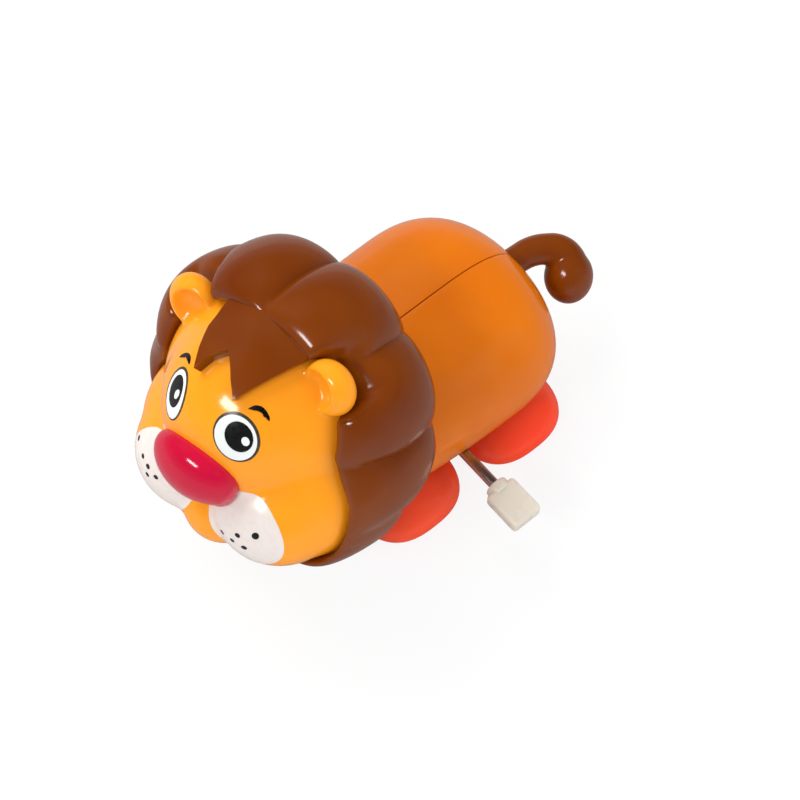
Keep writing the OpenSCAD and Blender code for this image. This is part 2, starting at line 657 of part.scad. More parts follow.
module mane_shell() {
  sections = [for (k = [0:mane_turns - 1]) let (a = k * 360 / mane_turns)
    [for (p = mane_section(a)) [p[0] * cos(a), p[1], p[0] * sin(a)]]];
  n = len(sections[0]);
  points = [for (s = sections) each s];
  faces = [for (i = [0:mane_turns - 1], j = [0:n - 1])
    let (h = (i + 1) % mane_turns, k = (j + 1) % n)
    each [[i * n + j, h * n + k, i * n + k], [i * n + j, h * n + j, h * n + k]]];
  color(mane_brown) head_frame() polyhedron(points, faces);
}

// Plate in the back of the head that turns on the neck pin
module neck_plate() {
  color(mane_brown) head_frame() difference() {
    union() {
      translate([0, plate_y[0], 0]) rotate([-90, 0, 0]) cylinder(h = plate_y[1] - plate_y[0], r = mane_seat_r - seat_gap);
      translate([0, neck_boss_y[0], -neck_drop]) rotate([-90, 0, 0]) cylinder(h = neck_boss_len, r = neck_pin_r + 2);
    }
    translate([0, neck_boss_y[0] - 1, -neck_drop]) rotate([-90, 0, 0]) cylinder(h = neck_boss_len + 2, r = neck_pin_r + run_gap);
    for (s = screw_spots) translate([s[0], plate_y[0] - 1, s[1]]) rotate([-90, 0, 0]) {
      cylinder(h = 10, r = head_screw_r + seat_gap);
      translate([0, 0, 1 + plate_y[1] - plate_y[0] - 1.4]) cylinder(h = 10, r = 1.7 + seat_gap);
    }
  }
}
module head_screws() {
  color(steel) head_frame() for (s = screw_spots) translate([s[0], plate_y[1] - 1.4, s[1]]) {
    rotate([-90, 0, 0]) cylinder(h = 1.2, r = 1.7);
    rotate([90, 0, 0]) cylinder(h = plate_y[1] - 1.4 - plate_y[0] + head_screw_len - 0.5, r = head_screw_r);
  }
}

// Nose and forelock lie on the face: spots are given as sideways and upward slopes from straight ahead
look_depth = 20;
function look(s) = unit([s[0], -look_depth, s[1]]);
nose_spot = [0, -3.4];
nose_lift = 0.15;
module nose() {
  n = 24;
  function ring(share, lift) = [for (j = [0:n - 1]) let (a = j * 360 / n)
    face_point(look(nose_spot + share * [nose_half_w * cos(a), nose_half_h * sin(a)]), lift)];
  top = [for (a = [4:12:88]) ring(sin(a), nose_lift + nose_rise * cos(a))];
  under = [for (s = [1, 0.6, 0.2]) ring(s, nose_lift)];
  color("#d8123f") head_frame() skin(concat(top, under));
}

// Forelock: a tuft from the mane's edge down to two points, given as angles round and off the face's middle
forelock_t = 1;
forelock_edge = [[62, 70], [64, 60], [66, 50], [69, 39], [78, 44], [89.5, 52.5], [96, 47], [101.5, 40], [105, 48], [108, 58]];
forelock_root = 75;
function forelock_lift(off) = nose_lift + forelock_t * max(0.1, min(1, (forelock_root - off) / 8));
module forelock() {
  rows = 6;
  columns = [62, 63, 64, 65, 66, 67.5, 69, 73.5, 78, 84, 89.5, 92.8, 96, 98.8, 101.5, 103.2, 105, 108];
  function off(a, j) = let (low = lookup(a, forelock_edge)) low + (forelock_root - low) * j / rows;
  rings = [for (a = columns) concat([for (j = [0:rows]) face_point(face_dir(off(a, j), a), nose_lift)],
    [for (j = [rows:-1:0]) face_point(face_dir(off(a, j), a), forelock_lift(off(a, j)))])];
  color(mane_brown) head_frame() skin(rings);
}

// Tail: a ring on the post, an arm out of the body and a tuft curled to the left
tail_path = [[0, 3, 0], [0.1, 6, 0], [0.5, 8.5, 0], [1.5, 10.6, -0.1], [3, 12.2, -0.4], [4.8, 12.8, -1.2],
  [6.3, 12.4, -2.6], [7.2, 11.5, -4], [7.6, 10.3, -5.4], [7.7, 9.2, -6.6]];
tail_shares = [1, 1, 1, 0.98, 1, 1.2, 1.5, tuft_r / tail_r, 1.4, 0.7];
module tail() {
  sides = 16;
  last = len(tail_path) - 1;
  rings = [for (i = [0:last]) let (
      t = unit(tail_path[min(i + 1, last)] - tail_path[max(i - 1, 0)]),
      across = unit(cross(t, [0, 0, 1])),
      up = cross(across, t))
    [for (k = [0:sides - 1]) let (a = k * 360 / sides)
      tail_path[i] + tail_r * tail_shares[i] * (cos(a) * across + sin(a) * up)]];
  color(mane_brown) translate([0, tail_at_y, tail_z]) difference() {
    union() {
      skin(rings);
      translate([0, 0, -tail_ring_h / 2]) cylinder(h = tail_ring_h, r = 3.2);
    }
    translate([0, 0, -10]) cylinder(h = 20, r = tail_pin_r + run_gap);
  }
}

body_shell_left();
body_shell_right();
belly_pan();
shell_screws();
neck_pin();
neck_washer();
tail_clip();
motor_plate_left();
motor_plate_right();
motor_pillars();
mainspring();
winding_shaft();
key_knob();
ratchet_wheel();
great_wheel();
click_spring();
front_axle();
front_axle_gear();
front_crank_left();
front_crank_right();
rear_axle();
rear_axle_gear();
rear_crank_left();
rear_crank_right();
second_arbor();
second_pinion();
second_wheel();
governor_arbor();
governor_pinion();
flywheel();
walking_bar_left();
walking_bar_right();
front_left_foot();
rear_left_foot();
front_right_foot();
rear_right_foot();
face_shell();
mane_shell();
neck_plate();
forelock();
nose();
head_screws();
tail();
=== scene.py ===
# %% [markdown]
# # Dressing a wind-up walking lion
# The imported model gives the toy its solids, joints and size. This lesson models the pieces that the eye
# meets first, gives every piece a finish, and stands the toy in a plain studio.

# %% The frame
import json
import math

import bpy
from mathutils import Matrix, Vector


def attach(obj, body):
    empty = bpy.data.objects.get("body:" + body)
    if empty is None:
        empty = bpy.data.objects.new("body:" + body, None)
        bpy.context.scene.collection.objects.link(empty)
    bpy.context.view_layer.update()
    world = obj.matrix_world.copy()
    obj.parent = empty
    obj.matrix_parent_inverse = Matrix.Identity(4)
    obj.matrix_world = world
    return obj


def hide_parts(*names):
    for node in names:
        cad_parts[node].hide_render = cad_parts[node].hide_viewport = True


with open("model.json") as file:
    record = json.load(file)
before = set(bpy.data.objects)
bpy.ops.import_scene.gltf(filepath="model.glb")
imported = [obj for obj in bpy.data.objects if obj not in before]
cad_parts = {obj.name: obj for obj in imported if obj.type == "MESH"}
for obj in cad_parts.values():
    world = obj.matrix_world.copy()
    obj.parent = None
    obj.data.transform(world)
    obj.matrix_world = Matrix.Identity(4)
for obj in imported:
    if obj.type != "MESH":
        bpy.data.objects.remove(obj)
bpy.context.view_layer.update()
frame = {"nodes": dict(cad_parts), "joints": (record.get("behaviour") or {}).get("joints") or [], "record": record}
MM = 0.001
joints = {joint["name"]: joint for joint in frame["joints"]}

# %% [markdown]
# ## Working by operators
# An operator acts on all that is selected, so each step first deselects everything. These few helpers take
# one piece in hand, open its mesh, cut it along a plane, or put its place into its mesh.

# %% Taking a piece in hand


def clear_selection():
    """Leave edit mode and deselect all."""
    if bpy.context.object and bpy.context.object.mode != "OBJECT":
        bpy.ops.object.mode_set(mode="OBJECT")
    bpy.ops.object.select_all(action="DESELECT")


def take(piece):
    """Make one piece the only selected and the active one."""
    clear_selection()
    piece.select_set(True)
    bpy.context.view_layer.objects.active = piece
    return piece


def named(name):
    """Name the piece that was just added."""
    piece = bpy.context.object
    piece.name = name
    piece.data.name = name
    return piece


def settle(piece):
    """Put a piece's place, turn and scale into its mesh."""
    take(piece)
    bpy.ops.object.transform_apply(location=True, rotation=True, scale=True)
    return piece


def join(pieces):
    """Make several pieces one mesh, under the first one's name."""
    clear_selection()
    for piece in pieces:
        piece.select_set(True)
    bpy.context.view_layer.objects.active = pieces[0]
    bpy.ops.object.join()
    return pieces[0]


print("a piece can be taken, named, settled and joined")

# %% Working on the mesh
DOUBLES_MM = 0.002


def edit_all(piece):
    """Open a piece's mesh for editing, with all of it selected."""
    take(piece)
    bpy.ops.object.mode_set(mode="EDIT")
    bpy.ops.mesh.select_all(action="SELECT")


def cut(piece, spot, normal, fill):
    """Cut a piece along a plane and drop the side that the normal points to."""
    edit_all(piece)
    bpy.ops.mesh.bisect(plane_co=spot, plane_no=normal, clear_outer=True, use_fill=fill)
    bpy.ops.object.mode_set(mode="OBJECT")
    return piece


def tidy_skin(piece, angle):
    """Merge doubles, turn the faces outwards and shade smooth up to an angle in degrees."""
    edit_all(piece)
    bpy.ops.mesh.remove_doubles(threshold=DOUBLES_MM * MM)
    bpy.ops.mesh.normals_make_consistent(inside=False)
    bpy.ops.object.mode_set(mode="OBJECT")
    bpy.ops.object.shade_smooth_by_angle(angle=math.radians(angle))
    return piece


print("doubles closer than", DOUBLES_MM, "mm are merged")

# %% Working with modifiers
SMOOTHING = 0.5


def use(piece, kind, **settings):
    """Add a modifier with its settings and apply it."""
    take(piece)
    modifier = piece.modifiers.new(kind.title(), kind)
    for name, value in settings.items():
        setattr(modifier, name, value)
    bpy.ops.object.modifier_apply(modifier=modifier.name)
    return piece


def combine(piece, other, operation):
    """Join a second piece to a piece (UNION) or take it out of it (DIFFERENCE), and drop the second."""
    use(piece, "BOOLEAN", operation=operation, solver="EXACT", object=other)
    bpy.data.objects.remove(other)
    return piece


def round_edges(piece, width, segments, angle):
    """Bevel the edges that turn by more than an angle in degrees. The width is in mm."""
    limit = math.radians(angle)
    return use(piece, "BEVEL", width=width * MM, segments=segments, limit_method="ANGLE", angle_limit=limit)


def melt(piece, voxel, rounds):
    """Fuse overlapping shapes by a remesh with voxels in mm, and smooth the valleys between them."""
    use(piece, "REMESH", mode="VOXEL", voxel_size=voxel * MM, use_smooth_shade=True)
    return use(piece, "SMOOTH", factor=SMOOTHING, iterations=rounds)


print("modifiers are applied as they are added")

# %% Starting shapes
ALONG_X = (0, math.pi / 2, 0)
ALONG_Y = (math.pi / 2, 0, 0)


def ball(name, spot, radii, segments=96, rings=48):
    """An egg of three radii in mm, as a start for a round form."""
    clear_selection()
    bpy.ops.mesh.primitive_uv_sphere_add(segments=segments, ring_count=rings, radius=1)
    piece = named(name)
    piece.location = Vector(spot) * MM
    piece.scale = Vector(radii) * MM
    return settle(piece)


def pipe(name, spot, turn, radius, depth, sides=64):
    """A cylinder in mm, as a cutter for a hole or a start for a collar."""
    clear_selection()
    bpy.ops.mesh.primitive_cylinder_add(vertices=sides, radius=radius * MM, depth=depth * MM, rotation=turn)
    piece = named(name)
    piece.location = Vector(spot) * MM
    return settle(piece)


def block(name, spot, sides):
    """A box in mm, as a cutter for a step or a start for a grip."""
    clear_selection()
    bpy.ops.mesh.primitive_cube_add(size=1)
    piece = named(name)
    piece.scale = [side * MM for side in sides]
    piece.location = [place * MM for place in spot]
    return settle(piece)


print("eggs, pipes and blocks are the starts")

# %% [markdown]
# ## Colours and finishes
# The toy's shells are ABS, injection-moulded against polished steel. ABS has an IOR near 1.53. Its gloss is
# high but not a mirror's: the mould leaves a faint orange peel, the flowing melt leaves the colour a touch
# uneven, and handling leaves a thin haze. One flat colour would look like paint, so each plastic gets a slow
# colour drift, an uneven roughness and a slight bump. Shoes and key are softer and let some light in.

# %% Colour and node helpers


def srgb(code):
    """Turn an sRGB hex colour into linear numbers."""
    parts = [int(code[i : i + 2], 16) / 255 for i in (1, 3, 5)]
    return tuple(p / 12.92 if p <= 0.04045 else ((p + 0.055) / 1.055) ** 2.4 for p in parts) + (1.0,)


def add(tree, kind, inputs, stops=(), **settings):
    """Add one node with its settings, set or link its inputs, and set a ramp's stops from hex colours."""
    node = tree.nodes.new(kind)
    for name, value in settings.items():
        setattr(node, name, value)
    for name, value in inputs.items():
        if isinstance(value, bpy.types.NodeSocket):
            tree.links.new(value, node.inputs[name])
        else:
            node.inputs[name].default_value = value
    for i, (at, code) in enumerate(stops):
        node.color_ramp.elements[i].position = at
        node.color_ramp.elements[i].color = srgb(code)
    return node


def empty_material(name):
    """A material with no nodes yet, and its tree."""
    material = bpy.data.materials.new(name)
    material.use_nodes = True
    material.node_tree.nodes.clear()
    return material, material.node_tree


print("white is", srgb("#FFFFFF")[:3])

# %% Moulded plastics
# The part of a noise's range that is used
NOISE_LOW, NOISE_HIGH = 0.3, 0.7
FLOW_MM, HAZE_MM = 16, 5
# Least and greatest roughness, as shares of the finish's own
HAZE_LOW, HAZE_HIGH = 0.75, 1.35
PEEL_MM, PEEL_DEEP_MM, PEEL_STRENGTH = 1.1, 0.02, 0.12
PLASTIC_IOR = 1.53
INNER_TINT = (1.0, 0.6, 0.35)


def moulded(name, low, high, roughness, milk=0.0, milk_mm=1.0):
    """Polished moulded plastic. The peel is really about 0.3 mm wide and is drawn wider so that it shows."""
    material, tree = empty_material(name)
    spot = add(tree, "ShaderNodeTexCoord", {}).outputs["Object"]
    flow = add(tree, "ShaderNodeTexNoise", {"Vector": spot, "Scale": 1 / (FLOW_MM * MM), "Detail": 2.0})
    haze = add(tree, "ShaderNodeTexNoise", {"Vector": spot, "Scale": 1 / (HAZE_MM * MM), "Detail": 4.0})
    peel = add(tree, "ShaderNodeTexNoise", {"Vector": spot, "Scale": 1 / (PEEL_MM * MM), "Detail": 1.0})
    colour = add(
        tree,
        "ShaderNodeValToRGB",
        {"Fac": flow.outputs["Fac"]},
        stops=((NOISE_LOW, low), (NOISE_HIGH, high)),
    )
    rough = add(
        tree,
        "ShaderNodeMapRange",
        {
            "Value": haze.outputs["Fac"],
            "From Min": NOISE_LOW,
            "From Max": NOISE_HIGH,
            "To Min": HAZE_LOW * roughness,
            "To Max": HAZE_HIGH * roughness,
        },
    )
    bump = add(
        tree,
        "ShaderNodeBump",
        {"Height": peel.outputs["Fac"], "Strength": PEEL_STRENGTH, "Distance": PEEL_DEEP_MM * MM},
    )
    shader = add(
        tree,
        "ShaderNodeBsdfPrincipled",
        {
            "Base Color": colour.outputs["Color"],
            "Roughness": rough.outputs["Result"],
            "Normal": bump.outputs["Normal"],
            "IOR": PLASTIC_IOR,
            "Subsurface Weight": milk,
            "Subsurface Scale": milk_mm * MM,
            "Subsurface Radius": INNER_TINT,
        },
    )
    add(tree, "ShaderNodeOutputMaterial", {"Surface": shader.outputs["BSDF"]})
    return material


plastics = {
    # Warm orange body: high gloss over a slow drift of tone
    "body_plastic": moulded("abs_body_orange", "#D66A08", "#DF750E", 0.15),
    # Yellow face: a clean, bright colour under a high gloss
    "face_plastic": moulded("abs_face_yellow", "#F79618", "#FB9F20", 0.13),
    # Brown mane: dark, so its gloss shows most
    "mane_plastic": moulded("abs_mane_brown", "#6C2C02", "#7A3805", 0.16),
    # Crimson nose: the glossiest piece
    "nose_plastic": moulded("abs_nose_crimson", "#B8082E", "#C80F3A", 0.1),
    # Orange-red shoes: softer plastic that lets a little light through
    "foot_plastic": moulded("pp_shoe_red", "#FF401C", "#FF522C", 0.2, 0.35, 2.5),
    # Milky key: unpigmented plastic, light scatters inside it
    "key_plastic": moulded("pp_key_milky", "#D0C7B8", "#DED7CA", 0.24, 0.35, 1.5),
}
print("plastics", sorted(plastics))

# %% [markdown]
# ## Metals
# The motor's plates, pins and shafts are plain cold-rolled steel, which shows fine rolling lines, and the
# wheels are stamped brass, which shows faint stains. A noise that is stretched one way gives lines, and the
# same noise left even gives a grain. A metal keeps the default IOR and gets its colour from the base.

# %% Steel and brass
GRAIN_MM, GRAIN_DEEP_MM, GRAIN_STRENGTH = 0.5, 0.01, 0.2
STAIN_MM = 3
ROLLED, STAMPED = (0.08, 0.08, 1.0), (1.0, 1.0, 1.0)


def worked_metal(name, low, high, rough_low, rough_high, stretch):
    """Metal with lines or grain, drawn wider than they are so that they show, and with stains."""
    material, tree = empty_material(name)
    spot = add(tree, "ShaderNodeTexCoord", {}).outputs["Object"]
    lines = add(tree, "ShaderNodeMapping", {"Vector": spot, "Scale": stretch}).outputs["Vector"]
    grain = add(tree, "ShaderNodeTexNoise", {"Vector": lines, "Scale": 1 / (GRAIN_MM * MM), "Detail": 3.0})
    stain = add(tree, "ShaderNodeTexNoise", {"Vector": spot, "Scale": 1 / (STAIN_MM * MM), "Detail": 3.0})
    colour = add(
        tree,
        "ShaderNodeValToRGB",
        {"Fac": stain.outputs["Fac"]},
        stops=((NOISE_LOW, low), (NOISE_HIGH, high)),
    )
    rough = add(
        tree,
        "ShaderNodeMapRange",
        {
            "Value": grain.outputs["Fac"],
            "From Min": NOISE_LOW,
            "From Max": NOISE_HIGH,
            "To Min": rough_low,
            "To Max": rough_high,
        },
    )
    bump = add(
        tree,
        "ShaderNodeBump",
        {"Height": grain.outputs["Fac"], "Strength": GRAIN_STRENGTH, "Distance": GRAIN_DEEP_MM * MM},
    )
    shader = add(
        tree,
        "ShaderNodeBsdfPrincipled",
        {
            "Base Color": colour.outputs["Color"],
            "Metallic": 1.0,
            "Roughness": rough.outputs["Result"],
            "Normal": bump.outputs["Normal"],
        },
    )
    add(tree, "ShaderNodeOutputMaterial", {"Surface": shader.outputs["BSDF"]})
    return material


finishes = dict(plastics)
# Cold-rolled steel: pale grey with fine lines along the sheet
finishes["motor_steel"] = worked_metal("rolled_steel", "#B4B6B8", "#CBCDCF", 0.22, 0.38, ROLLED)
# Stamped brass: yellow with browner stains
finishes["gear_brass"] = worked_metal("stamped_brass", "#B08F45", "#CBAA5C", 0.25, 0.42, STAMPED)
print("finishes", sorted(finishes))

# %% [markdown]
# ## Printed inks
# Eyes, brows, muzzle patches and whisker dots are pad-printed. Pad ink is a film of a few hundredths of a
# millimetre, a little duller than the plastic, with a slightly mottled density. One noise drives both its
# tone and its roughness, so that they change in the same spots.

# %% Inks
MOTTLE_MM = 0.9
SHEEN_LOW, SHEEN_HIGH = 0.8, 1.25
INK_IOR = 1.5


def ink(name, low, high, roughness):
    """Pad-printed ink with a mottled density."""
    material, tree = empty_material(name)
    spot = add(tree, "ShaderNodeTexCoord", {}).outputs["Object"]
    mottle = add(tree, "ShaderNodeTexNoise", {"Vector": spot, "Scale": 1 / (MOTTLE_MM * MM), "Detail": 3.0})
    colour = add(
        tree,
        "ShaderNodeValToRGB",
        {"Fac": mottle.outputs["Fac"]},
        stops=((NOISE_LOW, low), (NOISE_HIGH, high)),
    )
    sheen = add(
        tree,
        "ShaderNodeMapRange",
        {
            "Value": mottle.outputs["Fac"],
            "From Min": NOISE_LOW,
            "From Max": NOISE_HIGH,
            "To Min": SHEEN_LOW * roughness,
            "To Max": SHEEN_HIGH * roughness,
        },
    )
    shader = add(
        tree,
        "ShaderNodeBsdfPrincipled",
        {
            "Base Color": colour.outputs["Color"],
            "Roughness": sheen.outputs["Result"],
            "IOR": INK_IOR,
        },
    )
    add(tree, "ShaderNodeOutputMaterial", {"Surface": shader.outputs["BSDF"]})
    return material


# White ink for the eyes, with the blue-grey cast of a thin film
white_ink = ink("ink_eye_white", "#E3E9E9", "#E8ECEB", 0.2)
# Black ink for pupils, brows and whisker dots
black_ink = ink("ink_black", "#050505", "#0C0A0A", 0.3)
# Dark grey line round the eyes
line_ink = ink("ink_eye_line", "#3A332C", "#4A4238", 0.22)
# Warm white of the muzzle
muzzle_ink = ink("ink_muzzle", "#E2D7D1", "#E6DCD7", 0.2)
print("inks", [m.name for m in (white_ink, black_ink, line_ink, muzzle_ink)])

# %% [markdown]
# ## Handing a piece to the frame
# Every new piece rides on a body of the model, takes the finish of a material slot, and may stand for a solid. One
# helper says all of that in one place, so that no piece is left without a body.

# %% Handing over


def hand_over(piece, body, slot, material, *nodes):
    """Give a finished piece its finish, its body and the solids that it stands for. The slot is not used."""
    piece.data.materials.clear()
    piece.data.materials.append(material)
    for polygon in piece.data.polygons:
        polygon.material_index = 0
    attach(piece, body)
    if nodes:
        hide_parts(*nodes)
    piece.data.calc_loop_triangles()
    print(piece.name, "rides", body, "triangles", len(piece.data.loop_triangles))


# %% [markdown]
# ## The body's two halves
# The body is an egg-shaped shell, moulded in two halves that meet in a seam along the middle. A sculpted
# sphere would do, but a turned profile keeps to the model's own curve, so one chain of points is extruded
# and spun, and the result is widened.

# %% The body's profile
HALF_W, HALF_H, AXIS_Z = 21, 14.5, 16
FRONT_Y, WIDE_Y, REAR_LEN = -26, 11, 18
FRONT_TAPER, REAR_POWER = 0.16, 2.5
FRONT_STEP, FRONT_COUNT, REAR_STEP, SPIN_STEPS = 1.85, 20, 3, 160


def body_share(y):
    """Width of the body at y, as a share of its widest."""
    if y > WIDE_Y:
        return max(0.0, 1 - ((y - WIDE_Y) / REAR_LEN) ** REAR_POWER) ** (1 / REAR_POWER)
    return 1 - FRONT_TAPER * ((WIDE_Y - y) / (WIDE_Y - FRONT_Y)) ** 2


front = [FRONT_Y + FRONT_STEP * i for i in range(FRONT_COUNT)]
rear = [WIDE_Y + REAR_LEN * math.sin(math.radians(a)) for a in range(0, 91, REAR_STEP)]
profile = [(HALF_H * body_share(y), y) for y in front + rear]
print("body profile", len(profile), "points")

# %% The body's egg
clear_selection()
bpy.ops.mesh.primitive_plane_add(size=MM)
egg = named("body_egg")
edit_all(egg)
bpy.ops.mesh.merge(type="CENTER")
bpy.ops.transform.translate(value=(profile[0][0] * MM, profile[0][1] * MM, AXIS_Z * MM))
for (r0, y0), (r1, y1) in zip(profile, profile[1:]):
    step = ((r1 - r0) * MM, (y1 - y0) * MM, 0)
    bpy.ops.mesh.extrude_region_move(TRANSFORM_OT_translate={"value": step})
bpy.ops.mesh.select_all(action="SELECT")
bpy.ops.mesh.spin(steps=SPIN_STEPS, angle=2 * math.pi, center=(0, 0, AXIS_Z * MM), axis=(0, 1, 0))
bpy.ops.object.mode_set(mode="OBJECT")
egg.scale = (HALF_W / HALF_H, 1, 1)
settle(egg)
tidy_skin(egg, angle=40)
print("body egg spun to", len(egg.data.vertices), "points")

# %% [markdown]
# The egg is cut at the neck's plane, at the rim above the feet and at the seam. A solidified wall, the hole
# for the tail, the notch for the key's shaft and finely rounded edges make it a moulding. Each half is cut
# from its own copy, because only the left one has the notch.

# %% The two halves
neck = joints["head_rock"]
neck_at = Vector(neck["pos_m"])
neck_forward = Vector(neck["axis"]).normalized()
FRONT_WALL, RIM_Z, SEAM, WALL = 11.8, 10, 0.12, 1.5
TAIL_AT, TAIL_HOLE_Y, TAIL_HOLE_R, TAIL_HOLE_DEPTH = (0, 23.4, 20.4), 27, 3.5, 14
KEY_Z, KEY_HOLE_R, KEY_HOLE_DEPTH = 11, 1.4, 20
SIDES = ((1, "left"), (-1, "right"))


def body_half(name, side):
    """One half of the body, on the lion's left (1) or right (-1)."""
    take(egg)
    bpy.ops.object.duplicate(linked=False)
    half = named(name)
    cut(half, neck_at - neck_forward * FRONT_WALL * MM, neck_forward, fill=True)
    cut(half, (0, 0, RIM_Z * MM), (0, 0, -1), fill=False)
    cut(half, (side * SEAM * MM, 0, 0), (-side, 0, 0), fill=False)
    tidy_skin(half, angle=40)
    use(half, "SOLIDIFY", thickness=WALL * MM, offset=-1, use_even_offset=True)
    tail_hole = pipe("tail_hole", (0, TAIL_HOLE_Y, TAIL_AT[2]), ALONG_Y, TAIL_HOLE_R, TAIL_HOLE_DEPTH)
    combine(half, tail_hole, "DIFFERENCE")
    if side > 0:
        key_hole = pipe("key_hole", (HALF_W, 0, KEY_Z), ALONG_X, KEY_HOLE_R, KEY_HOLE_DEPTH)
        combine(half, key_hole, "DIFFERENCE")
    round_edges(half, width=0.22, segments=2, angle=50)
    return tidy_skin(half, angle=40)


for side, side_name in SIDES:
    half = body_half("body_" + side_name, side)
    hand_over(half, "body", "body_plastic", plastics["body_plastic"], "body_shell_" + side_name)
bpy.data.objects.remove(egg)

# %% [markdown]
# ## The head's own frame
# The head turns on the neck pin, looks up a little and is tilted. Modelling it in place would need slanted
# numbers everywhere, so its pieces are modelled straight, round the middle of the mane, and then put in
# place with one matrix that follows from the neck joint.

# %% Head frame
HEAD_TILT, NECK_DROP = 11, 4
turn = math.atan2(neck_forward.x, -neck_forward.y)
pitch = math.asin(neck_forward.z)
head_frame = (
    Matrix.Translation(neck_at)
    @ Matrix.Rotation(turn, 4, "Z")
    @ Matrix.Rotation(-pitch, 4, "X")
    @ Matrix.Rotation(math.radians(-HEAD_TILT), 4, "Y")
    @ Matrix.Translation((0, 0, NECK_DROP * MM))
)


def onto_head(piece):
    """Move a piece from the head's own frame to its place."""
    piece.matrix_world = head_frame
    return settle(piece)


print("head turned", round(math.degrees(turn), 1), "pitched", round(math.degrees(pitch), 1))

# %% [markdown]
# ## The face
# The face is a round skull with a bridge, a chin, two cheeks and two muzzle lobes that run together. Pulling
# all that out of one sphere is slow. Eggs that overlap, fused by a voxel remesh and smoothed, give the same
# soft valleys.

# %% Skull, cheeks and muzzle
FACE_EDGE_Y = -2
FINE_BALL = (128, 80)
SKULL = ((0, -2, 2), (20.6, 18, 20))
BRIDGE = ((0, -6, 3), (16.6, 17.6, 17))
CHIN = ((0, -14, -16), (7, 6.5, 6.4))
CHEEK = ((11.3, -4.3, -8.4), (12, 13.4, 13.4))
MUZZLE = ((9, -10, -11), (11.5, 11.5, 11))


def mirrored(spot, side):
    """A spot on the lion's left (1), or its mirror image on the right (-1)."""
    return (side * spot[0], spot[1], spot[2])


lumps = [ball("face", *SKULL, *FINE_BALL), ball("bridge", *BRIDGE, *FINE_BALL), ball("chin", *CHIN)]
for side, side_name in SIDES:
    lumps.append(ball("cheek", mirrored(CHEEK[0], side), CHEEK[1]))
    lumps.append(ball("muzzle", mirrored(MUZZLE[0], side), MUZZLE[1]))
face = melt(join(lumps), voxel=0.42, rounds=60)
print("face skin", len(face.data.vertices))

# %% [markdown]
# ### Touching the face
# Nose, forelock and prints lie on the face. A shrinkwrap would slide their outlines about, so a ray towards
# the middle of the face's edge finds the spot for each of their points. Directions are given as sideways and
# upward slopes at 20 mm ahead, or as two angles.

# %% Finding spots on the face
LOOK_DEPTH, RAY_START = 20, 40
face_from = Vector((0, FACE_EDGE_Y * MM, 0))


def touch(direction, lift):
    """The point where a direction leaves the face, lifted by some mm."""
    direction = direction.normalized()
    spot = face.ray_cast(face_from + direction * (RAY_START * MM), -direction)[1]
    return spot + direction * lift * MM


def face_outwards(sheet):
    """Turn an open sheet's faces away from the middle of the face."""
    outward = sum(polygon.normal.dot(polygon.center - face_from) for polygon in sheet.data.polygons)
    if outward < 0:
        edit_all(sheet)
        bpy.ops.mesh.flip_normals()
        bpy.ops.object.mode_set(mode="OBJECT")
    return sheet


def ahead(x, z):
    """Direction of a spot given by its slopes."""
    return Vector((x, -LOOK_DEPTH, z))


def around(off, turn_angle):
    """Direction at an angle off straight ahead, and an angle round from the lion's left."""
    a, b = math.radians(off), math.radians(turn_angle)
    return Vector((math.sin(a) * math.cos(b), -math.cos(a), math.sin(a) * math.sin(b)))


print("muzzle spot", [round(c / MM, 1) for c in touch(ahead(0, -2), 0)])

# %% [markdown]
# ## The nose
# The nose is a glossy oval button. An egg pushed into the face would do, but its edge would dip and rise
# with the muzzle. So each point of a sphere is laid on the face and lifted, and its back follows the muzzle.

# %% Nose
NOSE_W, NOSE_H, NOSE_RISE, NOSE_SINK, NOSE_Z = 9.2, 6.8, 4.3, 0.4, -3.4
UNIT_RADII = (1 / MM, 1 / MM, 1 / MM)
nose = ball("nose_button", (0, 0, 0), UNIT_RADII, segments=96, rings=64)
for vertex in nose.data.vertices:
    x, y, z = vertex.co
    rise = NOSE_RISE * max(0.0, -y) - NOSE_SINK * max(0.0, y)
    vertex.co = touch(ahead(NOSE_W * x, NOSE_Z + NOSE_H * z), rise)
tidy_skin(nose, angle=60)
onto_head(nose)
hand_over(nose, "head", "nose_plastic", plastics["nose_plastic"], "nose")

# %% [markdown]
# ## The forelock
# A brown tuft comes from under the mane and ends in two points. It is a thick flat piece with rounded edges.
# Cutting it out of a shell would need a bent cutter. Instead a grid is laid on the forehead between a table
# of its lower edge and the mane, then thickened and bevelled.

# %% The forelock's edge
# Angle round from the lion's left, and angle off straight ahead
LOCK_EDGE = [
    (62, 70), (64, 60), (66, 50), (69, 39), (78, 44),
    (89.5, 52.5), (96, 47), (101.5, 40), (105, 48), (108, 58),
]
LOCK_ROOT, LOCK_LIFT, LOCK_T = 77, 0.1, 2.0
LOCK_STEPS, LOCK_ROWS = 6, 20


def lock_low(a):
    """How far off straight ahead the tuft's lower edge is, at an angle round the face."""
    for (a0, low0), (a1, low1) in zip(LOCK_EDGE, LOCK_EDGE[1:]):
        if a <= a1:
            return low0 + (low1 - low0) * (a - a0) / (a1 - a0)
    return LOCK_EDGE[-1][1]


corners = [a for a, low in LOCK_EDGE]
columns = []
for a0, a1 in zip(corners, corners[1:]):
    columns += [a0 + (a1 - a0) * i / LOCK_STEPS for i in range(LOCK_STEPS)]
columns.append(corners[-1])
print("forelock columns", len(columns))

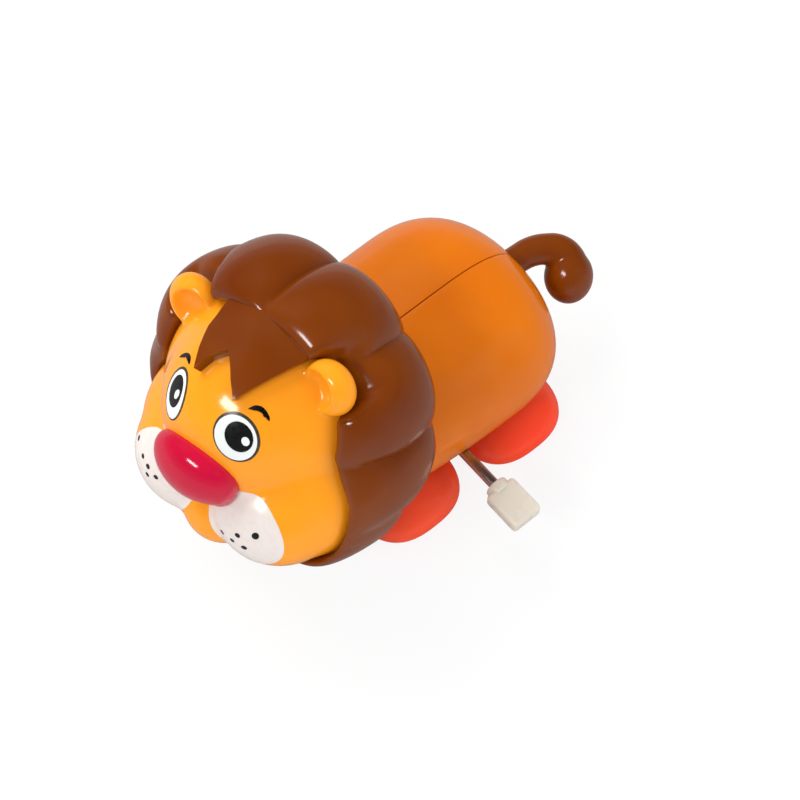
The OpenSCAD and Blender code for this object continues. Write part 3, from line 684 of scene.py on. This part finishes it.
# %% Forelock
clear_selection()
bpy.ops.mesh.primitive_grid_add(x_subdivisions=len(columns) - 1, y_subdivisions=LOCK_ROWS, size=2)
lock = named("forelock_tuft")
for vertex in lock.data.vertices:
    a = columns[round((vertex.co.x + 1) / 2 * (len(columns) - 1))]
    low = lock_low(a)
    off = low + (LOCK_ROOT - low) * (vertex.co.y + 1) / 2
    vertex.co = touch(around(off, a), LOCK_LIFT)
face_outwards(tidy_skin(lock, angle=60))
use(lock, "SOLIDIFY", thickness=LOCK_T * MM, offset=1, use_even_offset=False)
round_edges(lock, width=0.95, segments=6, angle=50)
tidy_skin(lock, angle=50)
onto_head(lock)
hand_over(lock, "head", "mane_plastic", plastics["mane_plastic"], "forelock")

# %% [markdown]
# ## Printed eyes, brows, patches and dots
# A print could be a mask in the face's material, but a film of its own keeps a crisp outline. So each print
# is a thin film on the face. A filled circle is subdivided, its points are moved to the print's outline and
# laid on the face, and the film gets its thickness. Films that overlap lie at different heights.

# %% Printing on the face
FILM, FILM_SUNK = 0.05, 0.1


def print_film(name, outline, layer, material, cuts=7):
    """Lay a filled outline of slopes on the face, as a film of the given layer."""
    count = len(outline)
    mid_x = sum(p[0] for p in outline) / count
    mid_z = sum(p[1] for p in outline) / count
    clear_selection()
    bpy.ops.mesh.primitive_circle_add(vertices=count, radius=1, fill_type="TRIFAN")
    film = named(name)
    for vertex in film.data.vertices:
        if vertex.co.length < 0.5:
            vertex.co = (mid_x, mid_z, 0)
        else:
            share = math.atan2(vertex.co.y, vertex.co.x) / (2 * math.pi) % 1.0
            x, z = outline[round(share * count) % count]
            vertex.co = (x, z, 0)
    edit_all(film)
    bpy.ops.mesh.subdivide(number_cuts=cuts)
    bpy.ops.object.mode_set(mode="OBJECT")
    for vertex in film.data.vertices:
        vertex.co = touch(ahead(vertex.co.x, vertex.co.y), FILM * layer)
    face_outwards(tidy_skin(film, angle=60))
    use(film, "SOLIDIFY", thickness=(FILM * layer + FILM_SUNK) * MM, offset=-1)
    tidy_skin(film, angle=40)
    onto_head(film)
    hand_over(film, "head", "face_plastic", material)


def oval(mid, half, count=64, lean=0.0):
    """An oval outline in slopes. A lean moves its top sideways by that share of its height."""
    angles = [2 * math.pi * i / count for i in range(count)]
    rim = [(half[0] * math.cos(a), half[1] * math.sin(a)) for a in angles]
    return [(mid[0] + x + lean * z, mid[1] + z) for x, z in rim]


print("one layer of film is", FILM, "mm")

# %% Eyes
# Middle, half width, half height and lean of each eye, and its outer side
EYES = {"left": (8.1, 8.5, 4.6, 4.9, 0.0, 1), "right": (-6.7, 9.6, 3.3, 5.4, -0.2, -1)}
# The white lies a little low and inwards in its line
WHITE_IN, WHITE_DOWN, LINE_W, LINE_H = 0.16, 0.2, 0.5, 0.52
# Shift and size of pupil and glint, as shares of the eye
PUPIL_X, PUPIL_Z, PUPIL_SIZE = 0.06, 0.04, 0.6
GLINT_X, GLINT_Z, GLINT_SIZE = 0.34, -0.04, 0.18
for side, (x, z, w, h, lean, out) in EYES.items():
    white = oval((x - WHITE_IN * out, z - WHITE_DOWN), (w - LINE_W, h - LINE_H), lean=lean)
    pupil = oval((x + PUPIL_X * w, z + PUPIL_Z * h), (PUPIL_SIZE * w, PUPIL_SIZE * h), lean=lean)
    glint = oval((x + GLINT_X * w, z + GLINT_Z * h), (GLINT_SIZE * w, GLINT_SIZE * h), count=32)
    print_film("eye_line_" + side, oval((x, z), (w, h), lean=lean), 1, line_ink)
    print_film("eye_white_" + side, white, 2, white_ink)
    print_film("eye_pupil_" + side, pupil, 3, black_ink)
    print_film("eye_glint_" + side, glint, 4, white_ink)

# %% Brows
CURVE_STEPS = 5
# Along, up and width of one brow, from its inner end, and the middle and outer side of each
BROW = [(-2.6, -1.0, 0.2), (-1.5, 0.1, 0.7), (0.0, 0.55, 1.0), (1.4, 0.1, 1.15), (2.5, -1.0, 1.05)]
BROW_AT = {"left": (11.5, 16.2, 1), "right": (-10.1, 17.5, -1)}


def rounded(points):
    """A smooth closed curve through the points."""
    curve = []
    for i in range(len(points)):
        p0, p1, p2, p3 = (Vector(points[(i + k) % len(points)]) for k in (-1, 0, 1, 2))
        for s in range(CURVE_STEPS):
            t = s / CURVE_STEPS
            a = 2 * p1 + (p2 - p0) * t
            b = (2 * p0 - 5 * p1 + 4 * p2 - p3) * t**2
            c = (3 * p1 - p0 - 3 * p2 + p3) * t**3
            curve.append(tuple((a + b + c) / 2))
    return curve


for side, (mid_x, mid_z, out) in BROW_AT.items():
    upper = [(mid_x + out * x, mid_z + z + width / 2) for x, z, width in BROW]
    lower = [(mid_x + out * x, mid_z + z - width / 2) for x, z, width in reversed(BROW)]
    print_film("brow_" + side, rounded(upper + lower), 1, black_ink)

# %% Muzzle patches
# The patch bends sharply over the lobe, so it gets more points and lies higher than a first layer
PATCH_LAYER, PATCH_CUTS = 1.6, 19
PATCH = [
    (1.1, -6.5), (6.5, -4.9), (9.5, -4.3), (14.2, -4.6), (18.2, -7.4), (21.0, -11.6), (21.8, -16.0),
    (20.3, -19.5), (16.0, -21.8), (11.0, -22.8), (6.8, -21.3), (3.7, -17.4), (1.9, -13.8), (1.2, -10.4),
]
for side, side_name in SIDES:
    outline = rounded([(side * x, z) for x, z in PATCH])
    print_film("muzzle_patch_" + side_name, outline, PATCH_LAYER, muzzle_ink, PATCH_CUTS)

# %% Whisker dots
DOT_LAYER, DOT_SQUASH = 3, 0.85
# Slopes and half width of each dot
DOTS = {
    "left": [
        (6.7, -14.4, 0.5), (10.4, -11.6, 0.55), (14.2, -10.5, 0.8), (9.3, -13.9, 0.5), (12.0, -14.2, 0.65),
    ],
    "right": [
        (-18.0, -9.4, 0.6), (-13.4, -9.9, 0.5), (-11.2, -10.5, 0.55), (-11.2, -12.4, 0.5), (-8.9, -11.3, 0.5),
    ],
}
for side, dots in DOTS.items():
    for i, (x, z, r) in enumerate(dots):
        dot = oval((x, z), (r, DOT_SQUASH * r), count=24)
        print_film("whisker_dot_" + side + str(i), dot, DOT_LAYER, black_ink)

# %% [markdown]
# ## The mane
# The mane is a thick ring of puffy locks. Near the face it is a rounded rim, and creases between the locks
# run outwards. Separate eggs would leave gaps between them. A torus gives one closed ring, and each of its
# sections is moved to the lock's own profile.

# %% The mane round the ring
LOCKS, PUFF_POWER = 9, 0.6
EAR_AT = (15, -8.2, 16)
EAR_ANGLE = math.degrees(math.atan2(EAR_AT[2], EAR_AT[0]))
# How far the low rim reaches round an ear, and over how many degrees it fades
EAR_ROOM, EAR_FADE = 14.5, 6
# How low the rim is on the lion's lower right, where, and over how many degrees
SIDE_LOW, SIDE_AT, SIDE_SPAN = 0.55, 203, 32
TEMPLES, TEMPLE_SPAN = (14, 166), 24


def apart(a, b):
    """Degrees between two angles round the ring."""
    return abs((a - b + 180) % 360 - 180)


def puff(a):
    """How far out a lock is at an angle round the ring: 1 in its middle, 0 in a crease."""
    return abs(math.sin(math.radians(LOCKS * (a - 90) / 2))) ** PUFF_POWER


def low_rim(a):
    """1 behind an ear, where the rim lies low, some on the lion's lower right, and 0 elsewhere."""
    ear_gap = min(apart(a, EAR_ANGLE), apart(a, 180 - EAR_ANGLE))
    behind_ear = min(1.0, max(0.0, (EAR_ROOM - ear_gap) / EAR_FADE))
    return max(behind_ear, SIDE_LOW * max(0.0, 1 - apart(a, SIDE_AT) / SIDE_SPAN))


def temple(a):
    """1 beside the eyes, where the rim comes forward, and 0 away from there."""
    return max(0.0, 1 - min(apart(a, t) for t in TEMPLES) / TEMPLE_SPAN)


print("ears stand at", round(EAR_ANGLE, 1), "and", round(180 - EAR_ANGLE, 1), "degrees")

# %% One section of the mane
# Widest radius, how far creases pull it in, and the least wall over the face
MANE_R, LOCK_DEPTH, LEAST_WALL = 28, 2.6, 2.4
# Angle of the lip off straight ahead, how much more behind an ear, and how much less at a temple
LIP_OFF, LIP_BACK, LIP_FORWARD = 76, 9, 6
# The lip's swell outwards and forward, the lock's swell and crease, and the share lost where the rim is low
LIP_OUT, LIP_SWELL, LOCK_SWELL, CREASE, LOW_SHARE = 1, 4.8, 8, 3, 0.7
# The back: where it starts, its plane, the share that swells, and how far it turns in
CREST_Y, MANE_BACK, BACK_SWELL, BACK_IN = 1, 11.4, 0.75, 3
# Below the chin the back swells less and turns in more
CHIN_SWELL, CHIN_IN = 0.4, 4
# The inside: the seat for the neck plate, the bore, and the edge that is sunk into the face
SEAT_R, SEAT_EDGE, SEAT_Y = 19.7, 1, 7
BORE_R, BORE_BACK_Y, BORE_FRONT_Y = 18, 6.5, -1.5
SUNK, SUNK_Y, SUNK_OFF, SUNK_BACK = 0.4, -1.9, 82, 4


def bend(points, t):
    """A point on a cubic curve with four control points."""
    a, b, c, d = points
    return (1 - t) ** 3 * a + 3 * (1 - t) ** 2 * t * b + 3 * (1 - t) * t * t * c + t**3 * d


def beside_face(off, a, lift):
    """Radius and y of a spot on the face, in mm."""
    spot = touch(around(off, a), lift) / MM
    return Vector((math.hypot(spot.x, spot.z), spot.y))


def mane_section(a, steps):
    """Radius and y of one closed section of the mane: over the lock, then round its back and inside."""
    room, crease, below = low_rim(a), 1 - puff(a), max(0.0, -math.sin(math.radians(a)))
    full = 1 - LOW_SHARE * room
    edge = beside_face(90, a, 0)
    lip = beside_face(LIP_OFF + LIP_BACK * room - LIP_FORWARD * temple(a), a, 0)
    top = max(MANE_R - LOCK_DEPTH * crease, edge.x + LEAST_WALL)
    crest = Vector((top, CREST_Y))
    front = [
        lip,
        lip + Vector((LIP_OUT, -LIP_SWELL * full)),
        Vector((top, -(LOCK_SWELL - CREASE * crease) * full)),
        crest,
    ]
    back = [
        crest,
        Vector((top, MANE_BACK * (BACK_SWELL - CHIN_SWELL * below))),
        Vector((top - BACK_IN - CHIN_IN * below, MANE_BACK)),
        Vector((SEAT_R + SEAT_EDGE, MANE_BACK)),
    ]
    inside = [
        Vector((SEAT_R, MANE_BACK)),
        Vector((SEAT_R, SEAT_Y)),
        Vector((BORE_R, BORE_BACK_Y)),
        Vector((BORE_R, BORE_FRONT_Y)),
        Vector((edge.x - SUNK, SUNK_Y)),
        beside_face(SUNK_OFF + SUNK_BACK * room, a, -SUNK),
    ]
    over = [bend(front, i / steps) for i in range(steps)]
    round_back = [bend(back, i / steps) for i in range(steps + 1)]
    return over + round_back + inside


MANE_TURNS, MANE_STEPS, MANE_ROUNDS = 252, 18, 3
section_points = len(mane_section(0, MANE_STEPS))
print("mane section", section_points, "points")

# %% Mane
clear_selection()
bpy.ops.mesh.primitive_torus_add(major_segments=MANE_TURNS, minor_segments=section_points)
mane = named("mane")
for i in range(MANE_TURNS):
    a = 360 * i / MANE_TURNS
    c, s = math.cos(math.radians(a)), math.sin(math.radians(a))
    for j, spot in enumerate(mane_section(a, MANE_STEPS)):
        mane.data.vertices[i * section_points + j].co = Vector((spot.x * c, spot.y, spot.x * s)) * MM
use(mane, "SMOOTH", factor=SMOOTHING, iterations=MANE_ROUNDS)
tidy_skin(mane, angle=50)
onto_head(mane)
hand_over(mane, "head", "mane_plastic", plastics["mane_plastic"], "mane_shell")

# %% [markdown]
# ## Ears and the finished face
# Each ear is a cup with a thick round rim. It could be pulled out of the face's own mesh, but its hollow
# would need many loops. An egg with a smaller egg carved out of its front is fused with the face by a second
# remesh instead. The face is then cut flat where it meets the mane.

# %% Ears
EAR_LEAN, EAR_R, EAR_T = 41, 4.9, 3.3
HOLLOW_AT, HOLLOW_HALF = (-1.0, -4.0, -1.2), (4.2, 3.7, 4.4)
ears = []
for side, side_name in SIDES:
    ear = ball("ear", (0, 0, 0), (EAR_R, EAR_T, EAR_R))
    combine(ear, ball("ear_hollow", mirrored(HOLLOW_AT, side), HOLLOW_HALF), "DIFFERENCE")
    lean = Matrix.Rotation(math.radians(side * EAR_LEAN), 4, "Y")
    ear.matrix_world = Matrix.Translation(Vector(mirrored(EAR_AT, side)) * MM) @ lean
    ears.append(settle(ear))
face = melt(join([face] + ears), voxel=0.34, rounds=10)
cut(face, (0, FACE_EDGE_Y * MM, 0), (0, 1, 0), fill=True)
tidy_skin(face, angle=60)
onto_head(face)
hand_over(face, "head", "face_plastic", plastics["face_plastic"], "face_shell")

# %% [markdown]
# ## The feet
# The four shoes are plump and plain. A bevelled box would keep flat sides, so a sphere's points are moved
# out to a rounded square, which gives the plan and the domed top. The side by the body is then cut upright,
# with a step that clears the walking bar.

# %% The shape of a shoe
FOOT_HALF_W, FOOT_LEN, FOOT_H, FOOT_WIDE_Z = 10.4, 20.4, 8.2, 2.2
PLAN_POWER, DOME_POWER = 2.6, 2.1
SOLE_POWER, SOLE_IN = 0.12, 0.14
POLE = 1e-6


def shoe_point(x, y, z):
    """Where a point of a sphere of radius 1 goes on a shoe, in mm."""
    flat = math.hypot(x, y)
    if z > 0:
        share = (1 - z**DOME_POWER) ** (1 / DOME_POWER)
        height = FOOT_WIDE_Z + (FOOT_H - FOOT_WIDE_Z) * z
    else:
        share = flat**SOLE_POWER * (1 - SOLE_IN * z * z)
        height = max(0.0, FOOT_WIDE_Z * (1 + z * (2 - flat)))
    if flat <= POLE:
        return (0, 0, height)
    across = math.copysign(abs(x / flat) ** (2 / PLAN_POWER), x)
    along = math.copysign(abs(y / flat) ** (2 / PLAN_POWER), y)
    return (across * share * FOOT_HALF_W, along * share * FOOT_LEN / 2, height)


print("top of a shoe", shoe_point(0, 0, 1))

# %% Feet
CRANK_R, FOOT_Y, BAR_OUT = 1.5, 11.9, 13.9
FOOT_IN, FOOT_IN_LOW, FOOT_STEP_Z = 14.1, 10.8, 2.8
STEP_SIDES = (20, 60, 20)


def shoe(name, side, end):
    """One shoe on the lion's left or right (1, -1), rear or front (1, -1)."""
    middle = (side * BAR_OUT, side * CRANK_R + end * FOOT_Y, 0)
    piece = ball(name, (0, 0, 0), UNIT_RADII, segments=128, rings=96)
    for vertex in piece.data.vertices:
        vertex.co = [place * MM for place in shoe_point(*vertex.co)]
    piece.location = [place * MM for place in middle]
    settle(piece)
    cut(piece, (side * FOOT_IN_LOW * MM, 0, 0), (-side, 0, 0), fill=True)
    step_at = (side * (FOOT_IN - STEP_SIDES[0] / 2), middle[1], FOOT_STEP_Z + STEP_SIDES[2] / 2)
    combine(piece, block("step", step_at, STEP_SIDES), "DIFFERENCE")
    round_edges(piece, width=0.35, segments=3, angle=55)
    return tidy_skin(piece, angle=45)


for side, side_name in SIDES:
    for end, end_name in ((-1, "front"), (1, "rear")):
        foot = shoe("shoe_" + end_name + "_" + side_name, side, end)
        node = end_name + "_" + side_name + "_foot"
        hand_over(foot, side_name + "_walker", "foot_plastic", plastics["foot_plastic"], node)

# %% [markdown]
# ## The tail
# The tail is a bent arm with a tuft like an egg. It could be extruded ring by ring, but a curve with a round
# section follows its path from a few points. A remesh then fuses arm and tuft without a seam.

# %% The tail's arm
TAIL_R, TAIL_ROUNDING, TAIL_STEPS = 2.6, 10, 12
# Place from the tail's pin, and radius as a share of TAIL_R
TAIL_PATH = [
    (0, 1.5, 0, 1.02), (0.1, 6, 0, 1.02), (0.5, 8.7, 0, 1.06), (1.7, 11.1, -0.1, 1.1),
    (3.5, 12.9, -0.4, 1.16), (5.5, 13.3, -1.4, 1.24), (7.0, 12.7, -2.8, 1.3),
]
clear_selection()
bpy.ops.curve.primitive_bezier_curve_add()
tail = named("tail_curl")
tail.data.dimensions = "3D"
tail.data.bevel_depth = TAIL_R * MM
tail.data.bevel_resolution = TAIL_ROUNDING
tail.data.resolution_u = TAIL_STEPS
tail.data.use_fill_caps = True
spline = tail.data.splines[0]
spline.bezier_points.add(len(TAIL_PATH) - len(spline.bezier_points))
for point, (x, y, z, share) in zip(spline.bezier_points, TAIL_PATH):
    point.co = Vector((TAIL_AT[0] + x, TAIL_AT[1] + y, TAIL_AT[2] + z)) * MM
    point.handle_left_type = "AUTO"
    point.handle_right_type = "AUTO"
    point.radius = share
take(tail)
bpy.ops.object.convert(target="MESH")
tail = bpy.context.object
print("tail arm", len(tail.data.vertices), "points")

# %% Tail
TUFT_AT, TUFT_HALF, TUFT_TURN = (7.2, 12.1, -3.6), (4.5, 4.4, 5.2), 20
tuft = ball("tuft", (0, 0, 0), TUFT_HALF)
tuft.rotation_euler = (math.radians(-TUFT_TURN), math.radians(-TUFT_TURN), 0)
tuft.location = (Vector(TAIL_AT) + Vector(TUFT_AT)) * MM
tail = melt(join([tail, settle(tuft)]), voxel=0.22, rounds=16)
tidy_skin(tail, angle=60)
hand_over(tail, "tail", "mane_plastic", plastics["mane_plastic"], "tail")

# %% [markdown]
# ## The key's knob
# The knob is a milky flat grip with a short round collar where it is pressed on the shaft. A remesh would
# roughen its crisp edges, so a box and a cylinder are bevelled first and then made one by a union.

# %% Knob
KNOB_X, KNOB_LEN, KNOB_W, KNOB_T = 28, 8.7, 6.2, 3.0
COLLAR_R, COLLAR_LEN, COLLAR_SHOWN = 2.1, 2, 1
grip_len = KNOB_LEN - COLLAR_SHOWN
knob = block("key_grip", (KNOB_X + COLLAR_SHOWN + grip_len / 2, 0, KEY_Z), (grip_len, KNOB_W, KNOB_T))
round_edges(knob, width=0.75, segments=6, angle=30)
collar = pipe("collar", (KNOB_X + COLLAR_LEN / 2, 0, KEY_Z), ALONG_X, COLLAR_R, COLLAR_LEN)
round_edges(collar, width=0.3, segments=3, angle=30)
combine(knob, collar, "UNION")
tidy_skin(knob, angle=30)
hand_over(knob, "key", "key_plastic", plastics["key_plastic"], "key_knob")

# %% [markdown]
# ## Finishes for the solids that stay
# The pan, the walking bars and the whole motor keep the model's own shape. Each takes the finish of its
# slot. The solids that a new piece stands for are hidden, so it does no harm to dress them too.

# %% Finishes on the solids
for part in frame["record"]["subparts"]:
    solid = frame["nodes"][part["node"]]
    solid.data.materials.clear()
    solid.data.materials.append(finishes[part["material_slot"]])

# %% [markdown]
# ## Floor and room
# The toy stands on white paper in a white room. To the camera both are white, and the floor keeps a faint
# shadow. In the gloss the paper is grey and the room is dim, because a white room would wash out the deep
# colours of the plastics. A Mix node's sockets share names, so they go by number.

# %% Floor
FLOOR_M, FLOOR_GLOW, FLOOR_IN_GLOSS = 6, 0.86, (0.34, 0.34, 0.34, 1)
# Soft patches of tone across the floor
CLOUDS = 40
WHITE = (1, 1, 1, 1)
clear_selection()
bpy.ops.mesh.primitive_plane_add(size=FLOOR_M)
floor = named("floor")
floor_paper, tree = empty_material("paper_white")
clouds = add(tree, "ShaderNodeTexNoise", {"Scale": CLOUDS, "Detail": 2.0})
ray = add(tree, "ShaderNodeLightPath", {})
pale = add(
    tree,
    "ShaderNodeValToRGB",
    {"Fac": clouds.outputs["Fac"]},
    stops=((NOISE_LOW, "#F4F4F4"), (NOISE_HIGH, "#F7F7F7")),
)
tone = add(
    tree,
    "ShaderNodeMix",
    {0: ray.outputs["Is Glossy Ray"], 6: pale.outputs["Color"], 7: FLOOR_IN_GLOSS},
    data_type="RGBA",
)
paper = add(tree, "ShaderNodeBsdfDiffuse", {"Color": tone.outputs[2]})
glow = add(tree, "ShaderNodeEmission", {"Color": WHITE, "Strength": 1.0})
seen = add(
    tree,
    "ShaderNodeMath",
    {0: ray.outputs["Is Camera Ray"], 1: ray.outputs["Is Transmission Ray"]},
    operation="MAXIMUM",
)
share = add(tree, "ShaderNodeMath", {0: seen.outputs[0], 1: FLOOR_GLOW}, operation="MULTIPLY")
both = add(
    tree,
    "ShaderNodeMixShader",
    {0: share.outputs[0], 1: paper.outputs["BSDF"], 2: glow.outputs["Emission"]},
)
add(tree, "ShaderNodeOutputMaterial", {"Surface": both.outputs["Shader"]})
floor.data.materials.append(floor_paper)
print("floor", FLOOR_M, "m wide")

# %% World
ROOM_LIGHT = 0.46
# The room in the gloss: at the horizon, above, and the height where that begins
GLOSS_LOW, GLOSS_HIGH, GLOSS_SPAN = 0.3, 0.06, 0.4
world = bpy.data.worlds.new("white_room")
bpy.context.scene.world = world
world.use_nodes = True
tree = world.node_tree
tree.nodes.clear()
ray = add(tree, "ShaderNodeLightPath", {})
sky = add(tree, "ShaderNodeTexCoord", {}).outputs["Generated"]
height = add(tree, "ShaderNodeSeparateXYZ", {"Vector": sky}).outputs["Z"]
in_gloss = add(
    tree,
    "ShaderNodeMapRange",
    {"Value": height, "From Min": 0.0, "From Max": GLOSS_SPAN, "To Min": GLOSS_LOW, "To Max": GLOSS_HIGH},
)
lit = add(
    tree,
    "ShaderNodeMix",
    {0: ray.outputs["Is Glossy Ray"], 2: ROOM_LIGHT, 3: in_gloss.outputs["Result"]},
)
bright = add(
    tree,
    "ShaderNodeMath",
    {0: ray.outputs["Is Camera Ray"], 1: lit.outputs[0]},
    operation="MAXIMUM",
)
room = add(tree, "ShaderNodeBackground", {"Color": WHITE, "Strength": bright.outputs[0]})
add(tree, "ShaderNodeOutputWorld", {"Surface": room.outputs["Background"]})
print("room light", ROOM_LIGHT)

# %% [markdown]
# ## Light and camera
# A small lamp before the lion gives the bright marks in the gloss. Two wide lamps, one high on its right and
# one low behind its left, only light it and don't show in the gloss. The camera looks from the photo's side,
# high before the lion's left, and stands far off with a long lens.

# %% Lamps
AIM = Vector((0, -5, 22)) * MM


def soft_lamp(name, direction, distance, size, watts):
    """A soft lamp that looks at the toy. Distance, width and height are in metres."""
    clear_selection()
    spot = AIM + Vector(direction).normalized() * distance
    bpy.ops.object.light_add(type="AREA", location=spot)
    lamp = bpy.context.object
    lamp.name = name
    lamp.data.shape = "RECTANGLE"
    lamp.data.size, lamp.data.size_y = size
    lamp.data.energy = watts
    lamp.rotation_euler = (AIM - spot).to_track_quat("-Z", "Y").to_euler()
    print(name, watts, "W at", distance, "m")
    return lamp


soft_lamp("front_lamp", direction=(0.03, -0.7, 0.72), distance=0.7, size=(0.26, 0.12), watts=1.9)
side_lamp = soft_lamp("side_lamp", direction=(-0.75, 0.0, 0.8), distance=0.9, size=(0.7, 0.7), watts=6.6)
fill_lamp = soft_lamp("fill_lamp", direction=(0.75, 0.35, 0.38), distance=0.9, size=(0.8, 0.8), watts=3.9)
side_lamp.visible_glossy = False
fill_lamp.visible_glossy = False

# %% Camera
AZ, EL, DISTANCE, LOOK_Z = 50, 62, 400, 20
PICTURE, PX_PER_MM, MID_PX, SENSOR = 800, 5.7, (392, 352.5), 36
az, el = math.radians(AZ), math.radians(EL)
toward = Vector((math.sin(az) * math.cos(el), -math.cos(az) * math.cos(el), math.sin(el)))
clear_selection()
bpy.ops.object.camera_add(location=Vector((0, 0, LOOK_Z * MM)) + toward * DISTANCE * MM)
camera = bpy.context.object
camera.rotation_euler = (-toward).to_track_quat("-Z", "Y").to_euler()
camera.data.sensor_width = SENSOR
camera.data.lens = PX_PER_MM * DISTANCE / PICTURE * SENSOR
camera.data.shift_x = (PICTURE / 2 - MID_PX[0]) / PICTURE
camera.data.shift_y = -(PICTURE / 2 - MID_PX[1]) / PICTURE
camera.data.clip_start = 0.01
bpy.context.scene.camera = camera
bpy.context.scene.view_settings.view_transform = "Standard"
print("camera lens", round(camera.data.lens, 1))

# %% Leaving nothing selected
clear_selection()
